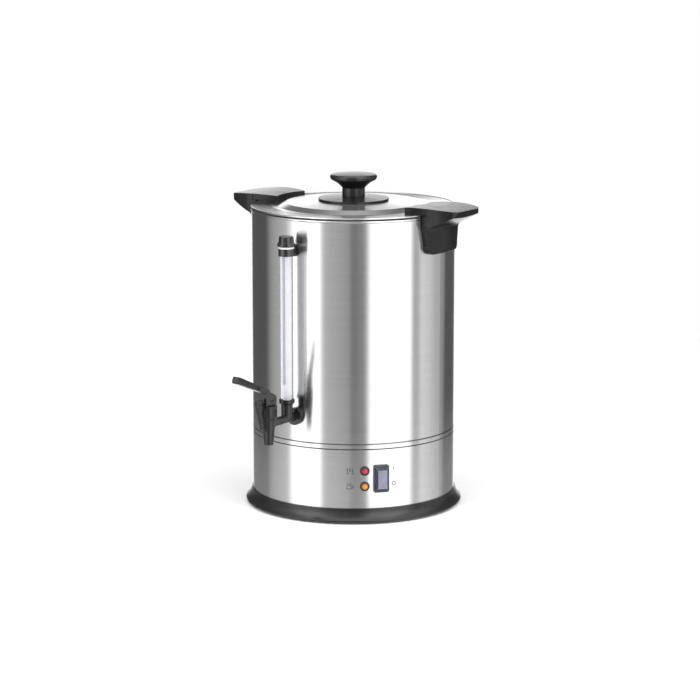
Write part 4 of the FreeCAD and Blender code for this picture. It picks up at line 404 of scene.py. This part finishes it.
STEEL = (0.66, 0.66, 0.665)
# height of the pressed line that gets the painted shade
GROOVE_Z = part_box("base_skirt")[1].z + 0.0039
LID_DISH = (0.1045, 0.1285, 0.14)
looks = {
    "steel": brushed_metal("outer_steel", STEEL, 0.21, 0.82, 0.0005, groove=GROOVE_Z),
    "lid_steel": brushed_metal("lid_steel", STEEL, 0.21, 0.82, 0.0005, dish=LID_DISH),
    "inner_steel": brushed_metal("inner_steel", (0.58, 0.58, 0.585), 0.3, 0.6, 0.0009, 0.07),
    "black_plastic": moulded("black_plastic", (0.011, 0.011, 0.0115), 0.24,
                             (0.035, 0.035, 0.036), wear=0.4),
    "dark_plastic": moulded("dark_plastic", (0.03, 0.034, 0.036), 0.34, (0.07, 0.075, 0.078),
                            specular=0.4),
    "clear_plastic": clear("clear_tube", (0.96, 0.965, 0.985), 0.02, ripple=0.000002),
    "ring_plastic": moulded("milky_ring", (0.86, 0.87, 0.89), 0.25, (0.93, 0.93, 0.94),
                            wear=0.3),
    "bezel_plastic": moulded("bezel_plastic", (0.016, 0.011, 0.012), 0.3,
                             (0.05, 0.04, 0.042), specular=0.4),
    "red_lens": lens("red_lens", "red_lamp_lens", (0.46, 0.022, 0.055),
                     (0.09, 0.004, 0.012), 0.03),
    "amber_lens": lens("amber_lens", "amber_lamp_lens", (0.68, 0.27, 0.02),
                       (0.14, 0.045, 0.006), 0.03),
    "boot_plastic": switch_cover("smoky_cover", (0.3, 0.3, 0.44), (0.045, 0.05, 0.058),
                                 (0.5, 0.5, 0.62)),
    # the gauge's lining and its stripe carry a painted glow
    "tube_back": opal_with_painted_glow("gauge_back", (0.93, 0.93, 0.94), 0.32),
    "handle_plastic": moulded("handle_plastic", (0.009, 0.009, 0.0095), 0.22,
                              (0.03, 0.03, 0.031), wear=0.4, specular=0.28),
    "gloss_plastic": moulded("gloss_plastic", (0.008, 0.008, 0.0085), 0.13,
                             (0.03, 0.03, 0.031), wear=0.3, specular=0.85),
    "dark_pin": plain_metal("dark_pin", (0.09, 0.09, 0.095), 0.35),
    "stripe": opal_with_painted_glow("gauge_stripe", (0.5, 0.51, 0.62), 0.18),
    "ink": soft_rubber("printed_ink", (0.035, 0.035, 0.038), 0.5),
    "window_plastic": moulded("switch_window", (0.4, 0.4, 0.56), 0.3, (0.6, 0.6, 0.72),
                              wear=0.4),
    "rubber": soft_rubber("rubber", (0.03, 0.03, 0.031), 0.75),
    "plated_steel": plain_metal("plated_steel", (0.62, 0.62, 0.61), 0.26),
    "brass": plain_metal("brass", (0.72, 0.53, 0.24), 0.32, stain=(0.3, 0.2, 0.09)),
    "aluminium": plain_metal("cast_aluminium", (0.72, 0.72, 0.73), 0.42, 900.0),
    "element_steel": plain_metal("element_sheath", (0.36, 0.34, 0.32), 0.4, 1200.0,
                                 stain=(0.17, 0.13, 0.11)),
    "wire_cover": soft_rubber("wire_cover", (0.07, 0.07, 0.075), 0.6),
}

NODES_OF_LOOK = {
    "steel": ["tank_shell", "base_skirt"],
    "lid_steel": ["lid_disc"],
    "inner_steel": ["basket_cover", "filter_basket", "pump_tube", "pump_foot", "pump_washer",
                    "bottom_plate"],
    "black_plastic": ["foot_ring", "gauge_tee", "knob_flange", "lid_knob", "tap_body",
                      "tap_bonnet", "tap_lever"],
    "gloss_plastic": ["gauge_bracket", "gauge_cap", "shank_lock_nut"],
    "handle_plastic": ["left_handle", "left_lid_lug", "right_handle", "right_lid_lug"],
    "dark_plastic": ["inlet_socket", "lamp_bodies", "switch_housing", "terminal_block",
                     "thermal_fuse"],
    "bezel_plastic": ["lamp_bezels"],
    "clear_plastic": ["gauge_tube"],
    "ring_plastic": ["gauge_ring"],
    "red_lens": ["red_lamp_lens"],
    "amber_lens": ["amber_lamp_lens"],
    "boot_plastic": ["switch_boot"],
    "window_plastic": ["rocker_window", "rocker_button"],
    "rubber": ["lid_gasket", "rubber_feet", "shank_seals", "tap_seat_cup"],
    "dark_pin": ["cross_pin"],
    "plated_steel": ["bottom_screws", "bracket_screw", "handle_screws", "handle_washers",
                     "heater_nuts", "inlet_screws", "knob_screw", "lug_rivets", "switch_tabs",
                     "tap_spring", "tap_stem"],
    "brass": ["inlet_pins"],
    "aluminium": ["heater_plate", "snap_thermostats"],
    "element_steel": ["boil_element", "keep_warm_element"],
    "wire_cover": ["lead_wires"],
}
for look, names in NODES_OF_LOOK.items():
    for name in names:
        nodes[name].data.materials.clear()
        nodes[name].data.materials.append(looks[look])

# rolled rims and other rounds are meshed in long thin faces: their normals go by face area
ROLLED = ["lid_disc", "tank_shell", "base_skirt", "foot_ring", "lid_knob", "knob_flange",
          "gauge_cap", "gauge_tee", "gauge_bracket", "left_lid_lug", "right_lid_lug",
          "basket_cover", "filter_basket"]
for name in ROLLED:
    weighed = nodes[name].modifiers.new("weighed_normals", "WEIGHTED_NORMAL")
    weighed.mode = "FACE_AREA_WITH_ANGLE"


def new_piece(name, verts, faces, look, body, smooth=True):
    mesh = bpy.data.meshes.new(name)
    mesh.from_pydata([tuple(v) for v in verts], [], faces)
    mesh.materials.append(looks[look])
    mesh.update()
    if smooth:
        mesh.shade_smooth()
    piece = bpy.data.objects.new(name, mesh)
    bpy.context.scene.collection.objects.link(piece)
    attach(piece, body)
    return piece


def turned_piece(name, outline, centre, look, body, segments=128):
    """Closed ring: an outline of (radius, height) points turned round an upright axis."""
    verts, faces = [], []
    for side, first in enumerate(outline):
        ends = first, outline[(side + 1) % len(outline)]
        start = len(verts)
        for k in range(segments):
            t = 2 * math.pi * k / segments
            for radius, height in ends:
                verts.append((centre[0] + radius * math.cos(t),
                              centre[1] + radius * math.sin(t), height))
        for k in range(segments):
            a, b = start + 2 * k, start + 2 * ((k + 1) % segments)
            faces.append((a, b, b + 1, a + 1))
    return new_piece(name, verts, faces, look, body)


# ---- the printed marks beside the switch and the lamps, on the skirt; their sizes are in mm
PRINT_R = 0.13004
MARK_LINE = 0.95
ON_TURN, ON_Z, OFF_Z = 56.4, 68.6, 48.8
STROKE_HALF, RING_R = 2.4, 2.2
HEAT_TURN, HEAT_Z = 31.6, 66.8
CUP_TURN, CUP_Z = 31.2, 47.1


def on_wall(turn, across, up, radius):
    """Point of the wall: so far across, to the right, from a turn, at a height."""
    t = math.radians(turn) + across / radius
    return radius * math.sin(t), AXIS_Y - radius * math.cos(t), up


def drawn_strokes(name, turn, lines):
    """Print that follows the wall: each line is a list of (across, height) about its turn."""
    verts, faces = [], []
    for points in lines:
        closed = points[0] == points[-1]
        start = len(verts)
        for k, (x, z) in enumerate(points):
            before = points[k - 1] if k else (points[-2] if closed else points[0])
            last = points[1] if closed else points[-1]
            after = points[k + 1] if k + 1 < len(points) else last
            dx, dz = after[0] - before[0], after[1] - before[1]
            reach = math.hypot(dx, dz)
            nx, nz = -dz / reach * MARK_LINE / 2, dx / reach * MARK_LINE / 2
            for sign in (1, -1):
                verts.append(on_wall(turn, (x + sign * nx) / 1000, (z + sign * nz) / 1000,
                                     PRINT_R))
        for k in range(len(points) - 1):
            a = start + 2 * k
            faces.append((a, a + 1, a + 3, a + 2))
    return new_piece(name, verts, faces, "ink", "urn", smooth=False)


def arc_points(x, z, radius, first, last, count):
    angles = [math.radians(first + (last - first) * k / count) for k in range(count + 1)]
    return [(x + radius * math.cos(a), z + radius * math.sin(a)) for a in angles]


def wave(x, low, high, swing, count=16):
    return [(x + swing * math.sin(2 * math.pi * k / count), low + (high - low) * k / count)
            for k in range(count + 1)]


drawn_strokes("on_mark", ON_TURN, [[(0, ON_Z - STROKE_HALF), (0, ON_Z + STROKE_HALF)]])
drawn_strokes("off_mark", ON_TURN,
              [arc_points(0, OFF_Z, RING_R, 0, 360, 36)[:-1] + [(RING_R, OFF_Z)]])

waves = [wave(x, HEAT_Z - 1.4, HEAT_Z + 3.4, 0.6) for x in (-3.2, 0.0, 3.2)]
hot_plate = [(-4.6, HEAT_Z - 3.1), (4.6, HEAT_Z - 3.1)]
drawn_strokes("heat_mark", HEAT_TURN, waves + [hot_plate])

CUP_RIM = (3.6, 0.8)
CUP_SIDE = [(3.2, -2.0), (2.1, -3.2)]  # down the right side of the cup, from its middle
cup = ([(-CUP_RIM[0], CUP_Z + CUP_RIM[1])]
       + [(-x, CUP_Z + z) for x, z in CUP_SIDE]
       + [(x, CUP_Z + z) for x, z in reversed(CUP_SIDE)]
       + [(CUP_RIM[0], CUP_Z + CUP_RIM[1]), (-CUP_RIM[0], CUP_Z + CUP_RIM[1])])
ear = arc_points(CUP_RIM[0], CUP_Z - 0.9, 1.5, 80, -80, 12)
steam = [wave(x, CUP_Z + 2.0, CUP_Z + 4.6, 0.45) for x in (-1.5, 1.5)]
drawn_strokes("keep_warm_mark", CUP_TURN, [cup, ear] + steam)

# ---- the gauge: a round drawn tube, an opal lining on its back and a tinted stripe on that
TUBE_WALL = 0.0016
LINING_GAP = 0.0002
LINING_FOOT, LINING_HEAD = 0.0005, 0.002  # what the lining leaves free at the tube's ends
BACK_TURN = 180 + VIEW_DEGREES
BACK_HALF = 92.0  # degrees to each side
STRIPE_TURN, STRIPE_HALF = BACK_TURN + 38.0, 20.0
STRIPE_LOW = 0.1735

tube_low, tube_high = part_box("gauge_tube")
tube_at = ((tube_low.x + tube_high.x) / 2, (tube_low.y + tube_high.y) / 2)
tube_r = (tube_high.x - tube_low.x) / 2
bore_r = tube_r - TUBE_WALL
smooth_tube = turned_piece(
    "round_gauge_tube",
    [(tube_r, tube_low.z), (tube_r, tube_high.z), (bore_r, tube_high.z), (bore_r, tube_low.z)],
    tube_at, "clear_plastic", "urn")
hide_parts("gauge_tube")


def tube_lining(name, turn, half, low, radius, look, steps=24, round_steps=10):
    """Strip inside the tube, centred on a turn, with a rounded lower end."""
    rise = min(math.radians(half) * radius, radius)
    high = tube_high.z - LINING_HEAD
    rows = []
    for k in range(1, round_steps + 1):
        bend = math.pi / 2 * k / round_steps
        rows.append((low + rise * (1 - math.cos(bend)), math.sin(bend)))
    rows.append((high, 1.0))
    verts, faces = [], []
    for height, share in rows:
        for k in range(steps + 1):
            t = math.radians(turn + half * share * (2 * k / steps - 1))
            verts.append((tube_at[0] + radius * math.sin(t),
                          tube_at[1] - radius * math.cos(t), height))
    for row in range(len(rows) - 1):
        for k in range(steps):
            a = row * (steps + 1) + k
            faces.append((a, a + 1, a + steps + 2, a + steps + 1))
    return new_piece(name, verts, faces, look, "urn")


lining_r = bore_r - LINING_GAP
tube_lining("gauge_back", BACK_TURN, BACK_HALF, tube_low.z + LINING_FOOT, lining_r,
            "tube_back", 48)
tube_lining("gauge_stripe", STRIPE_TURN, STRIPE_HALF, STRIPE_LOW, lining_r - LINING_GAP,
            "stripe")

# ---- the tap's spring: a wound wire
WIRE_R = 0.0004
COILS, COIL_STEPS, WIRE_SIDES = 5, 40, 10

spring_low, spring_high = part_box("tap_spring")
spring_at = (spring_low + spring_high) / 2
spring_r = (spring_high.x - spring_low.x) / 2 - WIRE_R
rise = spring_high.z - spring_low.z - 2 * WIRE_R
steps = COILS * COIL_STEPS
verts, faces = [], []
for k in range(steps + 1):
    t = 2 * math.pi * k / COIL_STEPS
    middle_z = spring_low.z + WIRE_R + rise * k / steps
    for side in range(WIRE_SIDES):
        u = 2 * math.pi * side / WIRE_SIDES
        r = spring_r + WIRE_R * math.cos(u)
        verts.append((spring_at.x + r * math.cos(t), spring_at.y + r * math.sin(t),
                      middle_z + WIRE_R * math.sin(u)))
for k in range(steps):
    for side in range(WIRE_SIDES):
        a, b = k * WIRE_SIDES + side, k * WIRE_SIDES + (side + 1) % WIRE_SIDES
        faces.append((a, b, b + WIRE_SIDES, a + WIRE_SIDES))
faces.append(tuple(range(WIRE_SIDES - 1, -1, -1)))
faces.append(tuple(range(len(verts) - WIRE_SIDES, len(verts))))
coil = new_piece("wound_spring", verts, faces, "plated_steel", "urn")
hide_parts("tap_spring")
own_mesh(coil)

# ---- the seam between wall and skirt: a dark strip fills the gap, painted shade for the gap's depth
SEAM_DROP = 0.0025  # below the skirt's upper edge
SEAM_HALF = 0.00068
GROOVE_DEPTH = 0.0012
STRIP_OUT, STRIP_IN = 0.0004, 0.0009

seam_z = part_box("base_skirt")[1].z - SEAM_DROP
wall_r = (tank_high.x - tank_low.x) / 2 - GROOVE_DEPTH
# painted shade: a dark ring where the gap would lie in shadow
turned_piece("seam_shade_strip",
             [(wall_r - STRIP_OUT, seam_z - SEAM_HALF), (wall_r - STRIP_OUT, seam_z + SEAM_HALF),
              (wall_r - STRIP_IN, seam_z + SEAM_HALF), (wall_r - STRIP_IN, seam_z - SEAM_HALF)],
             (0, AXIS_Y), "rubber", "urn", 256)

# --------------------------------------------------------------- the studio
# degrees round from the camera's side, seen from above, and how bright the studio is there
WALLS = [
    (-180, 1.5), (-169, 1.5), (-163, 0.11), (-116, 0.11), (-106, 0.42), (-80, 0.66), (-73, 1.9),
    (-39, 1.9), (-35, 0.62), (-5, 0.42), (-2, 0.2), (14, 0.33), (18, 1.6), (30, 1.9), (66, 1.9),
    (71, 0.5), (78, 0.55), (82, 0.98), (105, 0.66), (117, 0.5), (125, 0.12), (158, 0.11),
    (166, 1.5), (180, 1.5),
]
BRIGHTEST = 2.0
BACKGROUND = 1.0
CEILING = 2.1
UPPER_WALLS = 1.9  # how much brighter the walls are higher up
ABOVE_BACKDROP = 0.2
GROUND = 0.6
# rises of a direction (its upright share) between which one part of the studio gives way
WALLS_RISE = (0.35, 0.6)
BACKDROP_RISE = (0.27, 0.36)
CEILING_RISE = (0.8, 0.93)
GROUND_DROP = (-0.45, -0.85)
BEHIND = (-0.1, -0.5)  # how far a direction points away from the camera's side


def seen_through(g):
    """The light path, and 1 for what the camera sees straight or through clear pieces."""
    path = g.add("LightPath").outputs
    return path, g.math("MAXIMUM", path["Is Camera Ray"], path["Is Transmission Ray"])


def make_world():
    world = bpy.data.worlds.new("studio")
    bpy.context.scene.world = world
    world.use_nodes = True
    g = Graph(world.node_tree)
    x, y, height = g.split(g.add("TexCoord").outputs["Generated"])

    def along(axis):
        return g.math("ADD", g.math("MULTIPLY", x, axis[0]), g.math("MULTIPLY", y, axis[1]))

    to_camera = along((math.sin(VIEW_TURN), -math.cos(VIEW_TURN)))
    to_right = along((math.cos(VIEW_TURN), math.sin(VIEW_TURN)))
    turn = g.math("ARCTAN2", to_right, to_camera)
    ramp = g.add("ValToRGB", {"Fac": g.spread(turn, (-math.pi, math.pi), UNIT)})
    stops = ramp.color_ramp.elements
    while len(stops) > 1:
        stops.remove(stops[-1])
    for count, (degrees, bright) in enumerate(WALLS):
        place = (degrees + 180) / 360
        stop = stops[0] if count == 0 else stops.new(place)
        stop.position = place
        stop.color = (*[bright / BRIGHTEST] * 3, 1.0)
    walls = g.math("MULTIPLY", ramp.outputs[0], BRIGHTEST)
    walls = g.math("MULTIPLY", walls, g.spread(height, WALLS_RISE, (1.0, UPPER_WALLS), True))
    behind = g.spread(to_camera, BEHIND, UNIT, True)
    above = g.math("MULTIPLY", g.spread(height, BACKDROP_RISE, UNIT, True), behind)
    walls = g.blend(above, walls, ABOVE_BACKDROP)
    walls = g.blend(g.spread(height, CEILING_RISE, UNIT, True), walls, CEILING)
    lit = g.blend(g.spread(height, GROUND_DROP, UNIT, True), walls, GROUND)
    studio = g.add("Background", {"Color": (1, 1, 1, 1), "Strength": lit})
    backdrop = g.add("Background", {"Color": (1, 1, 1, 1), "Strength": BACKGROUND})
    both = g.add("MixShader", {0: seen_through(g)[1], 1: studio, 2: backdrop})
    g.add("OutputWorld", {"Surface": both})


FLOOR_R = 9.0
FLOOR_DROP = 0.0002
PAPER = (0.93, 0.93, 0.93)
# distances from the urn's axis over which the paper turns white, and leaves the mirrored view
PAPER_FADE = (0.35, 1.3)
MIRROR_FADE, MIRROR_LEFT = (0.2, 0.75), (0.8, 1.0)


def floor_look():
    """Paper near the object, so that its shadow shows, and plain white further out."""
    material = bpy.data.materials.new("floor")
    material.use_nodes = True
    g = Graph(material.node_tree)
    x, y, _ = g.split(g.add("TexCoord").outputs["Object"])
    away = g.length(g.join(x, y))
    paper = g.add("BsdfDiffuse", {"Color": rgba(PAPER), "Roughness": 0.0})
    white = g.add("Emission", {"Color": (1, 1, 1, 1), "Strength": BACKGROUND})
    path, seen = seen_through(g)
    far = g.math("MULTIPLY", g.spread(away, PAPER_FADE, UNIT, True), seen)
    mirrored = g.math("MULTIPLY", g.spread(away, MIRROR_FADE, MIRROR_LEFT, True),
                      path["Is Glossy Ray"])
    ground = g.add("MixShader", {0: far, 1: paper, 2: white})
    look = g.add("MixShader", {0: mirrored, 1: ground, 2: g.add("BsdfTransparent")})
    g.add("OutputMaterial", {"Surface": look})
    return material


make_world()
floor_mesh = bpy.data.meshes.new("floor")
made = bmesh.new()
bmesh.ops.create_circle(made, cap_ends=True, segments=96, radius=FLOOR_R)
made.to_mesh(floor_mesh)
made.free()
floor_mesh.materials.append(floor_look())
floor = bpy.data.objects.new("floor", floor_mesh)
floor.location = (0, AXIS_Y, -FLOOR_DROP)
bpy.context.scene.collection.objects.link(floor)
